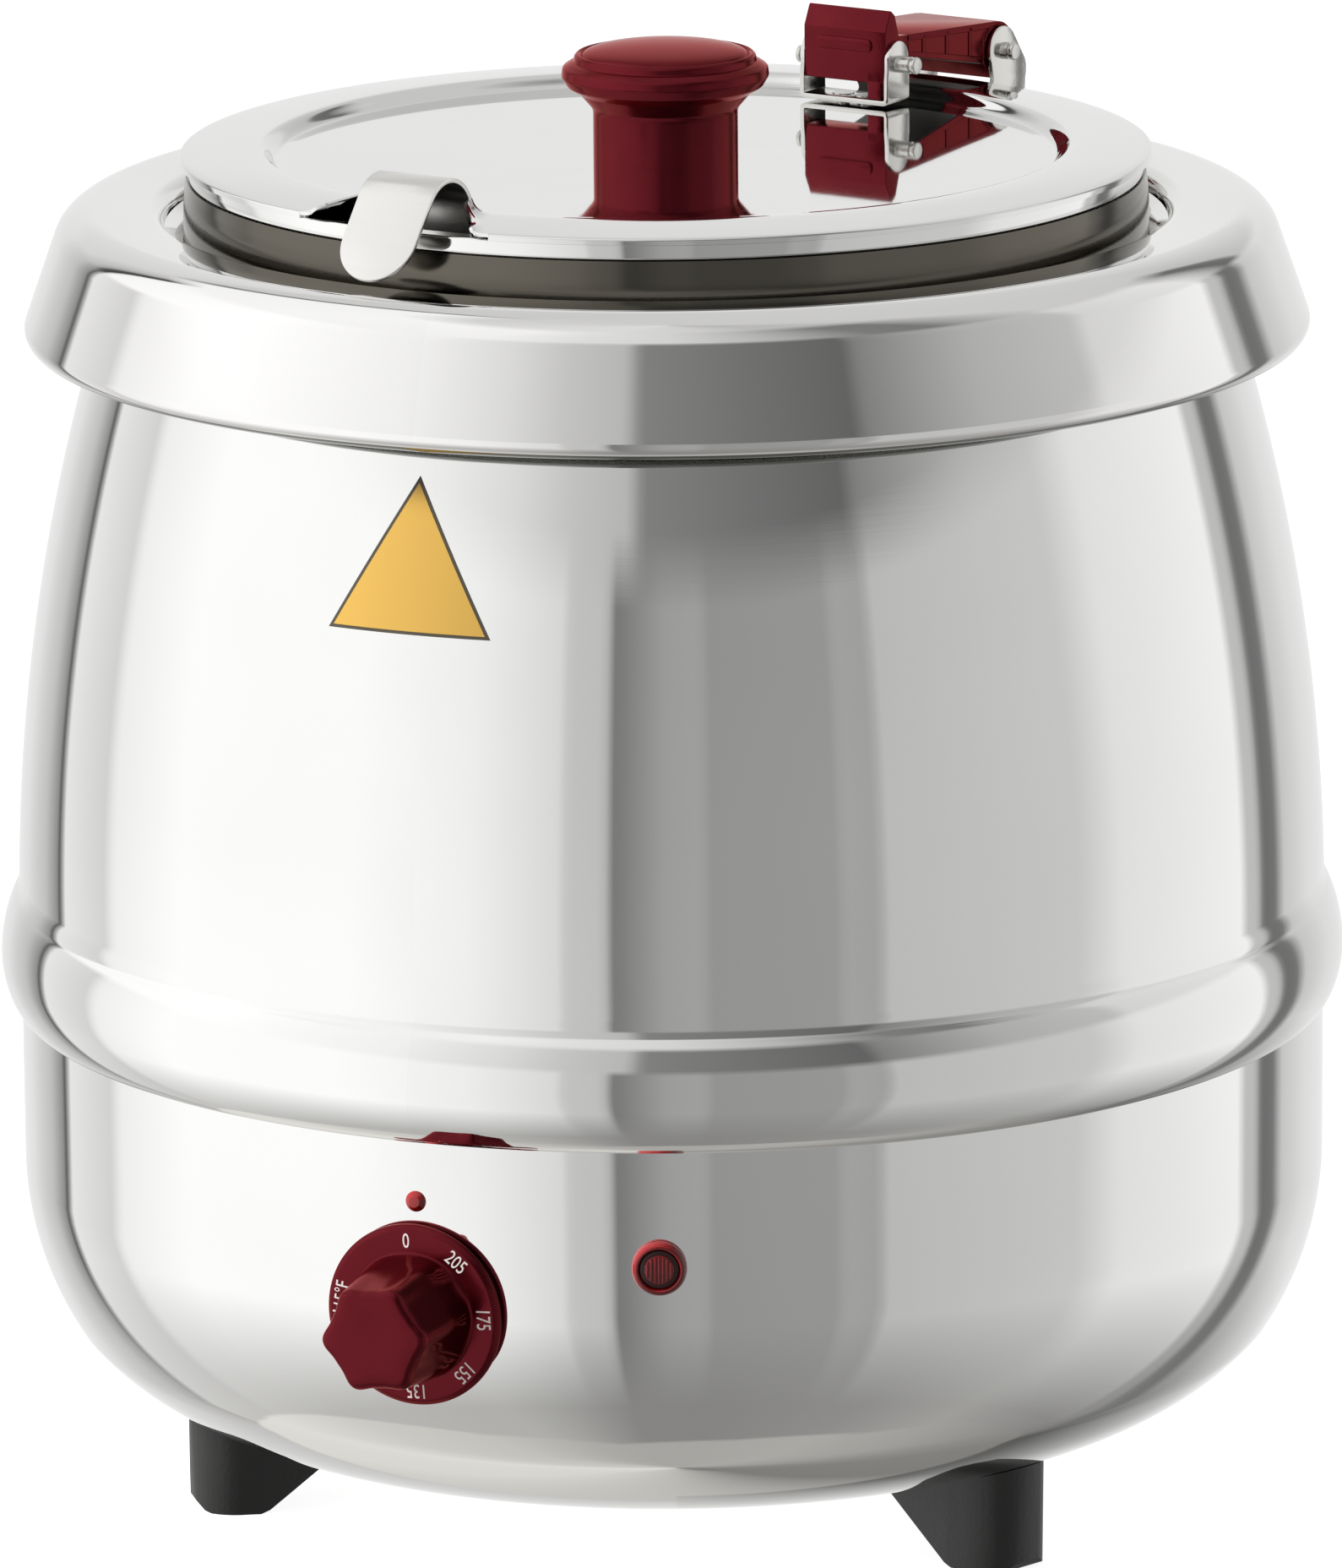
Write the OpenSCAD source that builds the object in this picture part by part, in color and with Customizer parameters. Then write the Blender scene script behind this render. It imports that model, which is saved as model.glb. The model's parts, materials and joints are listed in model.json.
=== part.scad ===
// Electric soup kettle with a lift-out pot, a hinged and notched lid and a hooked ladle.
// Millimetres, +Z up. The origin lies on the floor, on the axis of the kettle.
// The control dial faces -Y. Angles round the kettle run from -Y towards +X.

/* [Body] */
// Outer radius of the two body shells where they meet
body_r = 165; // [161:1:169]
// Thickness of the stainless sheet
sheet = 1; // [0.8:0.1:1.2]
// Height of the joint between lower and upper shell
seam_z = 128.5; // [126:0.5:131]
// Height above the seam that the rolled bead takes
bead_h = 28.5; // [24:0.5:32]
// How far the rolled bead stands out
bead_out = 4.2; // [3:0.2:6]
// Height where the belly becomes a straight wall
belly_z = 88; // [85:1:92]
// Radius of the curve under the belly
keel_r = 62; // [58:1:66]
// Distance from the straight wall in to the flat of the bottom
keel_in = 60; // [57:1:63]
// Lean of the upper shell where it leaves the bead, in degrees
taper_lean = 0.6; // [0:0.1:1.2]
// Radius of the bow of the upper shell
taper_bow = 495; // [465:5:560]
// Lap of the lower shell inside the bead
shell_lap = 19; // [14:1:20]

/* [Collar] */
// Height of the top of the collar above the floor
collar_z = 330.8; // [326:0.2:336]
// Radius of the mouth in the collar
mouth_r = 125.5; // [123:0.5:126]
// Largest radius of the collar, at its lip
collar_r = 161; // [158:0.5:165]
// Height of the collar from its lip to its top
collar_h = 33.5; // [30:0.5:38]
// Lean of the skirt of the collar, in degrees
collar_lean = 19.4; // [14:0.2:22]
// Radius of the shoulder of the collar
shoulder_r = 11; // [7:0.5:12]
// Radius of the rolled lip of the collar
lip_r = 3.5; // [2.5:0.5:4.5]
// Depth from the top of the collar to the ledge that carries the pot
ledge_depth = 13.6; // [11:0.2:16]
// Thickness of the collar sheet
collar_t = 1.2; // [1:0.1:1.5]

/* [Water well] */
// Height of the bottom of the well above the bottom of the body
well_lift = 54.5; // [52:0.5:60]

/* [Soup pot] */
// Gap between the neck of the pot and the mouth of the collar
neck_gap = 4; // [3.6:0.1:5]
// Width of the step that rests on the ledge
step_w = 2; // [1.5:0.1:3]
// Gap between the pot and the wall of the well
pot_gap = 1.7; // [1.2:0.1:3]
// Gap between the bottom of the pot and the bottom of the well
pot_float = 13; // [8:1:20]
// Height of the rim of the pot above the collar
rim_rise = 11.4; // [10:0.2:14]
// Height of the rolled rim
rim_h = 4.2; // [3.6:0.1:5]
// Width of the roll at the outer edge of the rim
rim_w = 5; // [4.4:0.1:6]
// How far the flat of the rim reaches in over the mouth of the pot
rim_in = 5.5; // [3:0.5:7]
// Turn of the pot, its lid and its ladle against the dial, in degrees
pot_turn = -11.7; // [-30:0.1:30]

/* [Lid] */
// How far the lid stays inside the rim of the pot
lid_inset = 3; // [2:0.5:4]
// Depth of the recess in the lid
recess_d = 3.2; // [2.6:0.1:4]
// Width of the flat ring round the recess
lid_ring = 20; // [18:0.5:22]
// Width of the sloped step between ring and recess
lid_step = 4.2; // [3:0.1:6]
// Half width of the notch for the ladle at its inner end
notch_in = 14; // [13:0.5:16]
// Half width of the notch at the edge of the lid
notch_out = 24.5; // [20:0.5:27]

/* [Lid knob] */
// Radius of the cap of the knob
cap_r = 25.9; // [23:0.1:28]
// Radius of the stem of the knob
stem_r = 18.1; // [15:0.1:20]
// Height of the knob
knob_h = 28.3; // [26:0.1:32]

/* [Hinge] */
// Distance of the front hinge pin in from the edge of the recess
front_pin_in = 10.8; // [9.5:0.1:12]
// Distance of the rear hinge pin out from the rim of the pot
rear_pin_out = 11; // [10.6:0.1:12]
// Height of the front pin above the recess
front_pin_z = 11; // [10.6:0.1:12]
// Height of the rear pin above the recess
rear_pin_z = 7.2; // [6.8:0.1:8]
// Diameter of the hinge pins
pin_d = 4.4; // [4:0.1:4.8]
// Width of the moulded link
link_w = 24.8; // [22:0.2:27]
// Thickness of the bracket sheet
bracket_t = 1.3; // [1:0.1:1.6]
// Height of the ridge of the link above the recess
ridge_z = 25; // [23:0.5:28]

/* [Ladle] */
// Width of the ladle handle
handle_w = 21; // [18:0.5:22]
// Thickness of the ladle handle
handle_t = 1.2; // [1:0.1:1.5]
// Height of the arch of the hook above the rim of the pot
hook_rise = 11.8; // [11:0.2:14]
// Radius of the ladle bowl
bowl_r = 41; // [34:1:44]
// Depth of the ladle bowl
bowl_d = 32; // [24:1:36]

/* [Feet] */
// Height of the feet
foot_h = 23.5; // [21:0.1:26]
// Width of a foot
foot_w = 26; // [20:0.5:30]
// Distance from the flat of the bottom out to the middle of the pads of the feet
pad_out = 12.5; // [10:0.5:14]
// Turn of the feet against the dial, in degrees
foot_turn = 6; // [-20:1:20]

/* [Controls] */
// Height of the dial above the floor
dial_z = 85.4; // [83:0.2:90]
// Diameter of the skirt of the dial
skirt_d = 46.5; // [42:0.5:50]
// Diameter of the grip of the dial over its lobes
grip_d = 26.4; // [24:0.2:30]
// How far the grip stands out from the skirt
grip_h = 24; // [20:0.5:28]
// Diameter of the thermostat spindle
spindle_d = 6; // [5:0.5:7]
// Height of the index dot above the dial
dot_rise = 28; // [26:0.5:31]
// Diameter of the index dot
dot_d = 5.2; // [4:0.1:6]
// Angle from the dial to the pilot lamp, in degrees
lamp_turn = 21; // [18:0.5:40]
// Height of the pilot lamp above the dial
lamp_rise = 14.3; // [10:0.1:20]
// Diameter of the pilot lamp
lamp_d = 13.4; // [12:0.1:15]

/* [Heating] */
// Radius of the ring of the heating element
element_r = 78; // [70:1:82]
// Diameter of the tube of the heating element
element_d = 8; // [6.5:0.5:8.5]

/* [Cord inlet] */
// Diameter of the bore for the cord
cord_bore = 8; // [6:0.5:9]
// Height of the cord inlet above the floor
inlet_z = 84; // [80:1:92]
// How far the cord inlet stands out from the body
inlet_out = 25.5; // [20:0.5:30]

/* [Hidden] */
$fn = 96;

fit = 0.08;          // clearance round a pin that runs
seat = 0.3;          // gap under a piece that rests on another body
plate_t = 1.2;       // base plate
eps = 0.01;          // overrun of a cut

// Points of a path in a plane: an arc, and a sheet wall to the left of a path
function arc(c, r, a0, a1, n) =
    [for (i = [0 : n]) let (a = a0 + (a1 - a0) * i / n) c + r * [cos(a), sin(a)]];
function side(a, b) = let (d = b - a) [-d[1], d[0]] / norm(d);
function shift_at(p, i, t) =
    let (k = len(p) - 1,
         before = side(p[max(i - 1, 0)], p[max(i, 1)]),
         after = side(p[min(i, k - 1)], p[min(i + 1, k)]),
         both = before + after)
    both / (both * before) * t;
function wall(p, t) =
    concat(p, [for (i = [len(p) - 1 : -1 : 0]) p[i] + shift_at(p, i, t)]);

module revolve(p) rotate_extrude() polygon(p);
// Places a piece on the wall of the kettle, its own +Z pointing outwards
module facing(turn, r, z)
    rotate([0, 0, turn]) translate([0, -r, z]) rotate([90, 0, 0]) children();
// Extrudes an outline drawn as (distance from the axis, height), centred on its width
module slab(w) rotate([90, 0, 90]) linear_extrude(w, center = true) children();
module in_pot() rotate([0, 0, pot_turn]) children();
module in_ladle() rotate([0, 0, pot_turn + 1.4]) children();

// ---- Body shells ----
keel_z = foot_h;
keel_c = [body_r - keel_in, keel_z + keel_r];
flange_in = 21;                     // width of the flange inside the curve of the bottom
crease_a = -40;
crease = keel_c + keel_r * [cos(crease_a), sin(crease_a)];
belly_in = body_r - crease[0];
belly_up = belly_z - crease[1];
belly_r = (pow(belly_in, 2) + pow(belly_up, 2)) / (2 * belly_in);
belly_a = asin(belly_up / belly_r);
lap_gap = 0.2;
bead_z = seam_z + bead_h;
shell_top = collar_z - collar_t - 1;
bead_mid = seam_z + 0.45 * bead_h;

function taper(z) = body_r - tan(taper_lean) * (z - bead_z) - pow(z - bead_z, 2) / (2 * taper_bow);
function bead_t(z) = (z - bead_mid) / (z < bead_mid ? bead_mid - seam_z : bead_z - bead_mid);
function bead(z) = body_r + bead_out * pow(max(0, 1 - pow(bead_t(z), 2)), 0.8);

lower_path = concat(
    [[keel_c[0] - flange_in, keel_z]],
    arc(keel_c, keel_r, -90, crease_a, 10),
    [for (i = [1 : 8]) [body_r - belly_r, belly_z] + belly_r * [cos(belly_a * (i / 8 - 1)),
        sin(belly_a * (i / 8 - 1))]],
    [[body_r, seam_z + 1 + shell_lap]]);

upper_path = concat(
    [for (i = [0 : 12]) let (z = seam_z + bead_h * i / 12) [bead(z) + lap_gap + sheet * (1 - i / 12), z]],
    [for (i = [1 : 12]) let (z = bead_z + (shell_top - bead_z) * i / 12) [taper(z) + lap_gap * (1 - i / 12), z]]);

bush_d = 10;
lamp_neck = 10.5;
gland_neck = 15;

module lower_shell() color("gainsboro") difference() {
    revolve(wall(lower_path, sheet));
    facing(0, body_r - 6, dial_z) cylinder(d = bush_d + 0.4, h = 12);
    facing(lamp_turn, body_r - 6, dial_z + lamp_rise) cylinder(d = lamp_neck + 0.4, h = 12);
    facing(180, body_r - 8, inlet_z) cylinder(d = gland_neck + 0.4, h = 16);
    at_feet() translate([0, -foot_screw_r, keel_z - 1]) cylinder(d = screw_d + 0.4, h = 4);
}

module upper_shell() color("gainsboro") revolve(wall(upper_path, sheet));

// ---- Collar round the mouth ----
lip_z = collar_z - collar_h;
lip_c = [collar_r - lip_r, lip_z + lip_r];
skirt_foot = lip_c + lip_r * [cos(collar_lean), sin(collar_lean)];
skirt_head = skirt_foot[0] - (collar_z - skirt_foot[1]) * tan(collar_lean);
shoulder_c = [skirt_head - shoulder_r * tan((90 - collar_lean) / 2), collar_z - shoulder_r];
mouth_f = 3;
ledge_z = collar_z - ledge_depth;
ledge_r = mouth_r - neck_gap - step_w;

collar_path = concat(
    arc(lip_c, lip_r, -110, collar_lean, 8),
    arc(shoulder_c, shoulder_r, collar_lean, 90, 8),
    arc([mouth_r + mouth_f, collar_z - mouth_f - 0.6], mouth_f, 90, 180, 6),
    [[mouth_r, ledge_z], [ledge_r, ledge_z]]);

module collar() color("whitesmoke") revolve(wall(collar_path, collar_t));

// ---- Water well: a deep pan whose flange hangs under the ledge ----
flange_z = ledge_z - collar_t;
well_z = keel_z + well_lift;
well_f = 14;
well_path = concat(
    [[0, well_z], [ledge_r + sheet - well_f, well_z]],
    arc([ledge_r + sheet - well_f, well_z + well_f], well_f, -75, 0, 6),
    [[ledge_r + sheet, flange_z - sheet], [mouth_r, flange_z - sheet]]);

module water_well() color("lightgray") revolve(wall(well_path, sheet));

// ---- Base plate and feet ----
plate_r = keel_c[0] - 1;
plate_z = keel_z + sheet;
foot_r = keel_c[0] + pad_out;
foot_screw_r = plate_r - 6.5;
foot_turns = [60, 180, 300];
screw_d = 5;
screw_web = 6;       // web of a foot under the body, which its screw clamps
head_h = 3;
nut_h = 4;

module at_feet() for (t = foot_turns) rotate([0, 0, t + foot_turn]) children();

module base_plate() color("silver") difference() {
    union() {
        translate([0, 0, plate_z]) cylinder(r = plate_r, h = plate_t);
        at_feet() translate([0, -foot_screw_r, plate_z + plate_t - eps])
            cylinder(d = screw_d + 5, h = nut_h);
    }
    at_feet() translate([0, -foot_screw_r, plate_z - 1]) cylinder(d = screw_d + 0.4, h = 9);
    for (x = [-1 : 2 : 1], y = [0 : 15 : 60]) translate([x * 30, y - 30, plate_z - 1])
        cylinder(d = 5, h = 4);
}

// A foot seen from the side: an upright outer face, a small pad and a long slanted web
pad_l = 17;
web_l = 24;
foot_out = foot_r + pad_l / 2 + 1;
function keel_at(r) = keel_c[1] - sqrt(pow(keel_r, 2) - pow(r - keel_c[0], 2));
foot_side = concat(
    arc([foot_r + pad_l / 2 - 3, 3], 3, 0, -90, 4),
    arc([foot_r - pad_l / 2 + 3, 3], 3, -90, -135, 3),
    [[foot_r - pad_l / 2 - web_l, foot_h - 4], [foot_r - pad_l / 2 - web_l, foot_h],
     [keel_c[0], foot_h]],
    [for (i = [1 : 6]) let (r = keel_c[0] + (foot_out - keel_c[0]) * i / 6) [r, keel_at(r) - 0.3]]);

module foot(turn) rotate([0, 0, turn + foot_turn + 180]) color("dimgray") difference() {
    intersection() {
        slab(foot_w) polygon(foot_side);
        translate([0, foot_r, 0]) union() {
            translate([-foot_w / 2, -60, -1]) cube([foot_w, 60, 40]);
            translate([-foot_w / 2 + 4, -1, -1]) cube([foot_w - 8, pad_l / 2 + 2.5, 40]);
            translate([-foot_w / 2, -1, -1]) cube([foot_w, pad_l / 2 - 1.5, 40]);
            for (s = [-1, 1]) translate([s * (foot_w / 2 - 4), pad_l / 2 - 2.5, -1])
                cylinder(r = 4, h = 40);
        }
    }
    translate([0, foot_screw_r, -1]) cylinder(d = screw_d + 5.5, h = foot_h - screw_web + 1);
    translate([0, foot_screw_r, -1]) cylinder(d = screw_d + 0.4, h = foot_h + 2);
}

module foot_right() foot(foot_turns[0]);
module foot_rear() foot(foot_turns[1]);
module foot_left() foot(foot_turns[2]);

module foot_screws() color("silver")
    at_feet() translate([0, -foot_screw_r, foot_h - screw_web - head_h]) {
        cylinder(d = screw_d + 4, h = head_h);
        cylinder(d = screw_d, h = head_h + screw_web + sheet + plate_t + nut_h + 1);
    }

// ---- Heating element under the well ----
clamp_t = 2;
clamp_drop = element_d + 0.2;
stud_r = element_r - 20;
element_leg = 22;
element_ends = [75, 105];

module heating_element() color("darkslategray") translate([0, 0, well_z - element_d / 2]) {
    rotate_extrude(angle = 330, start = element_ends[1]) translate([element_r, 0])
        circle(d = element_d);
    for (a = element_ends) rotate([0, 0, a]) translate([element_r, 0, 0])
        rotate([180, 0, 0]) cylinder(d = element_d - 2, h = element_leg);
}

module element_clamp() color("silver") difference() {
    translate([0, 0, well_z - clamp_drop - clamp_t]) cylinder(r = element_r + 14, h = clamp_t);
    translate([0, 0, well_z - clamp_drop - clamp_t - 1]) {
        cylinder(r = 28, h = clamp_t + 2);
        for (a = [0 : 120 : 240]) rotate([0, 0, a]) translate([stud_r, 0, 0])
            cylinder(d = 6.4, h = clamp_t + 2);
        for (a = element_ends) rotate([0, 0, a]) translate([element_r, 0, 0])
            cylinder(d = element_d + 2, h = clamp_t + 2);
    }
}

module clamp_nuts() color("silver") for (a = [0 : 120 : 240]) rotate([0, 0, a])
    translate([stud_r, 0, 0]) {
        translate([0, 0, well_z - clamp_drop - clamp_t - 8]) cylinder(d = 6, h = 8 + clamp_drop + clamp_t);
        translate([0, 0, well_z - clamp_drop - clamp_t - 5]) cylinder(d = 11.5, h = 5, $fn = 6);
    }

// ---- Thermostat, its spindle and its bulb ----
case_w = 34;
case_d = 26;
case_out = body_r - sheet - 3.2;
skirt_out = body_r + 0.6;
nut_out = 1.8;
spindle_in = 8;

module thermostat() color("darkgray") difference() {
    union() {
        facing(0, case_out - case_d, dial_z) translate([-case_w / 2, -case_w / 2, 0])
            cube([case_w, case_w, case_d]);
        facing(0, case_out - eps, dial_z) cylinder(d = bush_d, h = body_r - case_out + nut_out + 0.6);
    }
    facing(0, skirt_out - spindle_in - 1.4, dial_z) cylinder(d = spindle_d + 2 * fit, h = 20);
}

module thermostat_nut() color("silver") facing(0, body_r + 0.1, dial_z) difference() {
    cylinder(d = bush_d + 6, h = nut_out, $fn = 6);
    translate([0, 0, -1]) cylinder(d = bush_d, h = nut_out + 2);
}

bulb_d = 6;
bulb_l = 60;
bulb_r = stud_r - 10;
saddle_t = 0.8;

module sensor_bulb() color("peru") rotate([0, 0, 200]) translate([bulb_r, 0, well_z - 0.2]) {
    translate([0, 0, -bulb_d / 2 - 0.2]) rotate([90, 0, 0]) cylinder(d = bulb_d, h = bulb_l, center = true);
    translate([0, 0, -saddle_t / 2]) cube([bulb_d + 8, 8, saddle_t], center = true);
}

// ---- Dial with its spindle ----
lobes = 6;
lobe_r = 3.8;
skirt_t = 3;
cove = 3.5;

module dial() color("firebrick") facing(0, skirt_out, dial_z) {
    difference() {
        union() {
            rotate_extrude() polygon([[0, 0], [skirt_d / 2 - 0.6, 0], [skirt_d / 2, 0.6],
                [skirt_d / 2, skirt_t - 1.4], [skirt_d / 2 - 0.8, skirt_t - 0.4],
                [skirt_d / 2 - 2.4, skirt_t], [0, skirt_t]]);
            rotate_extrude() polygon(concat([[0, skirt_t - eps]],
                arc([grip_d / 2 + cove, skirt_t + cove], cove, -90, -165, 5), [[0, skirt_t + cove]]));
            translate([0, 0, skirt_t - eps]) linear_extrude(grip_h) {
                circle(r = grip_d / 2 - 2);
                for (i = [0 : lobes - 1]) rotate([0, 0, i * 360 / lobes + 90])
                    translate([grip_d / 2 - lobe_r, 0]) circle(r = lobe_r);
            }
        }
        translate([0, 0, -1]) cylinder(d = bush_d + 10, h = 1 + nut_out + 0.8);
    }
    translate([0, 0, -spindle_in]) cylinder(d = spindle_d, h = spindle_in + skirt_t);
}

module index_dot() color("firebrick") facing(0, body_r + 0.02, dial_z + dot_rise) rotate_extrude()
    polygon([[0, 0], [dot_d / 2, 0], [dot_d / 2, 0.3], [dot_d / 2 - 0.7, 0.9], [0, 1.2]]);

// ---- Pilot lamp ----
module at_lamp(out) facing(lamp_turn, body_r + out, dial_z + lamp_rise) children();

module lamp_lens() color("red") at_lamp(2.4) rotate_extrude()
    polygon([[0, 0], [lamp_d / 2 - 2, 0], [lamp_d / 2 - 2, 1.2], [lamp_d / 2 - 3, 2.1], [0, 2.6]]);

module lamp_body() color("maroon") at_lamp(0.2) difference() {
    union() {
        rotate_extrude() polygon([[0, 0], [lamp_d / 2, 0], [lamp_d / 2, 1.6],
            [lamp_d / 2 - 0.9, 2.8], [0, 2.8]]);
        translate([0, 0, -24]) cylinder(d = lamp_neck, h = 24 + 1);
        for (s = [-1, 1]) translate([s * 2.5 - 0.4, -2.2, -32]) cube([0.8, 4.4, 9]);
    }
    translate([0, 0, 2.2]) cylinder(r = lamp_d / 2 - 2 + 0.05, h = 4);
}

module lamp_nut() color("silver") facing(lamp_turn, body_r - sheet - 3.9, dial_z + lamp_rise)
    difference() {
        cylinder(d = lamp_neck + 5.5, h = 3, $fn = 6);
        translate([0, 0, -1]) cylinder(d = lamp_neck, h = 5);
    }

// ---- Terminal block and cord inlet ----
strip_w = 48;
strip_d = 18;
strip_h = 16;
strip_y = foot_screw_r - strip_d / 2 - screw_d - 7.5;   // clear of the nut of the rear foot

module terminal_block() color("ivory") translate([0, strip_y, plate_z + plate_t]) difference() {
    translate([-strip_w / 2, -strip_d / 2, 0]) cube([strip_w, strip_d, strip_h]);
    for (i = [-1 : 1]) translate([i * strip_w * 0.31, -strip_d / 2 - 1, strip_h / 2])
        rotate([-90, 0, 0]) cylinder(d = strip_h - 10, h = strip_d + 2);
}

gland_in = 12;
gland_hex = 5;
cap_arc = 6;

module cord_gland() color("dimgray") facing(180, body_r, inlet_z) difference() {
    union() {
        translate([0, 0, 0.6]) cylinder(d = gland_neck + 9, h = gland_hex, $fn = 6);
        rotate_extrude() polygon(concat([[0, gland_hex], [gland_neck / 2 + 2.4, gland_hex]],
            arc([gland_neck / 2 + 2.4 - cap_arc, inlet_out - cap_arc], cap_arc, 0, 80, 6),
            [[0, inlet_out]]));
        translate([0, 0, -gland_in]) cylinder(d = gland_neck, h = gland_in + 1);
    }
    translate([0, 0, -gland_in - 1]) cylinder(d = cord_bore, h = gland_in + inlet_out + 2);
}

module gland_nut() color("dimgray") facing(180, body_r - sheet - 6, inlet_z) difference() {
    cylinder(d = gland_neck + 7, h = 4, $fn = 6);
    translate([0, 0, -1]) cylinder(d = gland_neck, h = 6);
}

// ---- Soup pot ----
neck_r = mouth_r - neck_gap;
pot_r = ledge_r - pot_gap;
pot_z = well_z + sheet + pot_float;
rim_z = collar_z + rim_rise;
rim_r = neck_r - sheet + rim_w - 1;
pot_f = 18;
pot_path = concat(
    [[0, pot_z]],
    arc([pot_r - pot_f, pot_z + pot_f], pot_f, -90, 0, 7),
    [[pot_r, ledge_z + seat - 0.4], [neck_r - 0.6, ledge_z + seat], [neck_r, ledge_z + seat + 0.6],
     [neck_r, rim_z - rim_h]]);

rim_side = concat(
    arc([rim_w - 1.6, 1.6], 1.6, -90, 0, 5), arc([rim_w - 1.6, rim_h - 1.6], 1.6, 0, 90, 5),
    arc([0.6 - rim_in, rim_h - 0.6], 0.6, 90, 270, 6),
    [[rim_w - 4, rim_h - 1.2], [rim_w - 4, 0]]);

module soup_pot() color("lightgray") revolve(wall(pot_path, sheet));

module pot_rim() color("lightgray") revolve([for (p = rim_side) p + [rim_r - rim_w, rim_z - rim_h]]);

// ---- Lid ----
lid_r = rim_r - lid_inset;
lid_t = 1;
hem_h = 1.5;
lid_z = rim_z + 0.2;
ring_fall = 1.3;
ring_top = lid_z + hem_h + ring_fall;
recess_z = ring_top - recess_d;
recess_r = lid_r - lid_ring - lid_step;
front_pin_y = recess_r - front_pin_in;
notch_y = lid_r - lid_ring + 0.4;

lid_top = concat([[0, recess_z]],
    [for (i = [0 : 6]) let (t = i / 6) [recess_r + lid_step * t, recess_z + recess_d * (3 * t * t - 2 * pow(t, 3))]],
    [[lid_r - lid_ring / 2, ring_top - ring_fall * 0.35], [lid_r - 0.8, lid_z + hem_h + 0.15]]);
lid_shape = concat(
    [for (i = [0 : len(lid_top) - 1]) lid_top[i]],
    [[lid_r, lid_z + hem_h - 0.5], [lid_r, lid_z + 0.4], [lid_r - 0.4, lid_z],
     [lid_r - 2, lid_z], [lid_r - 2.4, lid_z + hem_h - lid_t + 0.3]],
    [for (i = [len(lid_top) - 2 : -1 : 0]) lid_top[i] - [0, lid_t]]);

// Half width of the notch at a distance from the axis: it flares in an S towards the edge
function notch_half(y) = let (t = min(1, max(0, (y - notch_y - 4) / (lid_r - notch_y - 3))))
    notch_in + (notch_out - notch_in) * (t * t * (3 - 2 * t));
notch_side = concat(
    arc([notch_in - 5, notch_y + 5], 5, -90, 0, 5),
    [for (i = [2 : 10]) let (y = notch_y + 5 + (lid_r + 3 - notch_y - 5) * i / 10) [notch_half(y), y]]);

module notch() mirror([0, 1, 0]) translate([0, 0, lid_z - 20]) linear_extrude(40)
    polygon(concat(notch_side, [for (i = [len(notch_side) - 1 : -1 : 0]) [-notch_side[i][0], notch_side[i][1]]]));

knob_screw_d = 6;

module lid() color("whitesmoke") in_pot() difference() {
    revolve(lid_shape);
    notch();
    translate([0, 0, recess_z - 5]) cylinder(d = knob_screw_d + 0.4, h = 10);
    for (s = [-1, 1]) translate([s * lid_rivet_s, front_pin_y, recess_z - 5]) cylinder(d = rivet_d, h = 10);
}

// ---- Lid knob and its screw ----
neck_f = knob_h - 12.5;
knob_profile = concat(
    [[0, 0], [stem_r, 0], [stem_r, neck_f - 4]],
    arc([stem_r + 4, neck_f - 4], 4, 180, 105, 5),
    [[cap_r - 2.2, neck_f + 1.6], [cap_r - 0.5, neck_f + 3.4], [cap_r, neck_f + 5],
     [cap_r - 0.5, neck_f + 6.7], [cap_r - 1.9, neck_f + 7.9], [cap_r - 2.7, neck_f + 8.2],
     [cap_r - 2.9, neck_f + 9.6], [cap_r - 3.7, neck_f + 10.4], [cap_r - 4.5, neck_f + 10.4],
     [cap_r - 5.2, neck_f + 9.6]],
    [for (i = [1 : 6]) let (t = i / 6) [(cap_r - 5.2) * (1 - t), neck_f + 9.6 + (knob_h - neck_f - 9.6) * sin(90 * t)]]);

module lid_knob() color("firebrick") in_pot() translate([0, 0, recess_z]) difference() {
    revolve(knob_profile);
    translate([0, 0, -1]) cylinder(d = knob_screw_d, h = 15);
}

module knob_screw() color("silver") in_pot() translate([0, 0, recess_z - lid_t]) {
    translate([0, 0, -2.4]) cylinder(d = knob_screw_d + 7, h = 2.4);
    cylinder(d = knob_screw_d, h = lid_t + 13);
}

// ---- Hinge: lid bracket, link, rear bracket and their pins ----
ear_gap = 0.4;
ear_s = link_w / 2 + ear_gap;              // inner face of both pairs of ears
rear_pin_y = rim_r + rear_pin_out;
ear_r = 5;
rivet_d = 3.2;
lid_rivet_s = 3.4;

module lid_bracket() color("silver") in_pot() translate([0, 0, recess_z]) difference() {
    union() {
        translate([-ear_s - bracket_t, front_pin_y - ear_r, 0])
            cube([2 * (ear_s + bracket_t), 2 * ear_r, bracket_t]);
        for (s = [-1, 1]) translate([s * (ear_s + bracket_t / 2), 0, 0]) slab(bracket_t) {
            translate([front_pin_y - ear_r, 0]) square([2 * ear_r, front_pin_z + 1.2]);
            translate([front_pin_y, front_pin_z + 1.2]) circle(r = ear_r);
        }
    }
    translate([0, front_pin_y, front_pin_z]) rotate([0, 90, 0])
        cylinder(d = pin_d + 2 * fit, h = 60, center = true);
    for (s = [-1, 1]) translate([s * lid_rivet_s, front_pin_y, -1]) cylinder(d = rivet_d, h = 6);
}

module lid_rivets() color("silver") in_pot() for (s = [-1, 1])
    translate([s * lid_rivet_s, front_pin_y, recess_z]) {
        translate([0, 0, bracket_t]) cylinder(d = rivet_d + 2.4, h = 0.9);
        translate([0, 0, -lid_t]) cylinder(d = rivet_d, h = lid_t + bracket_t + 0.5);
        translate([0, 0, -lid_t - 0.8]) cylinder(d = rivet_d + 2, h = 0.8);
    }

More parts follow.
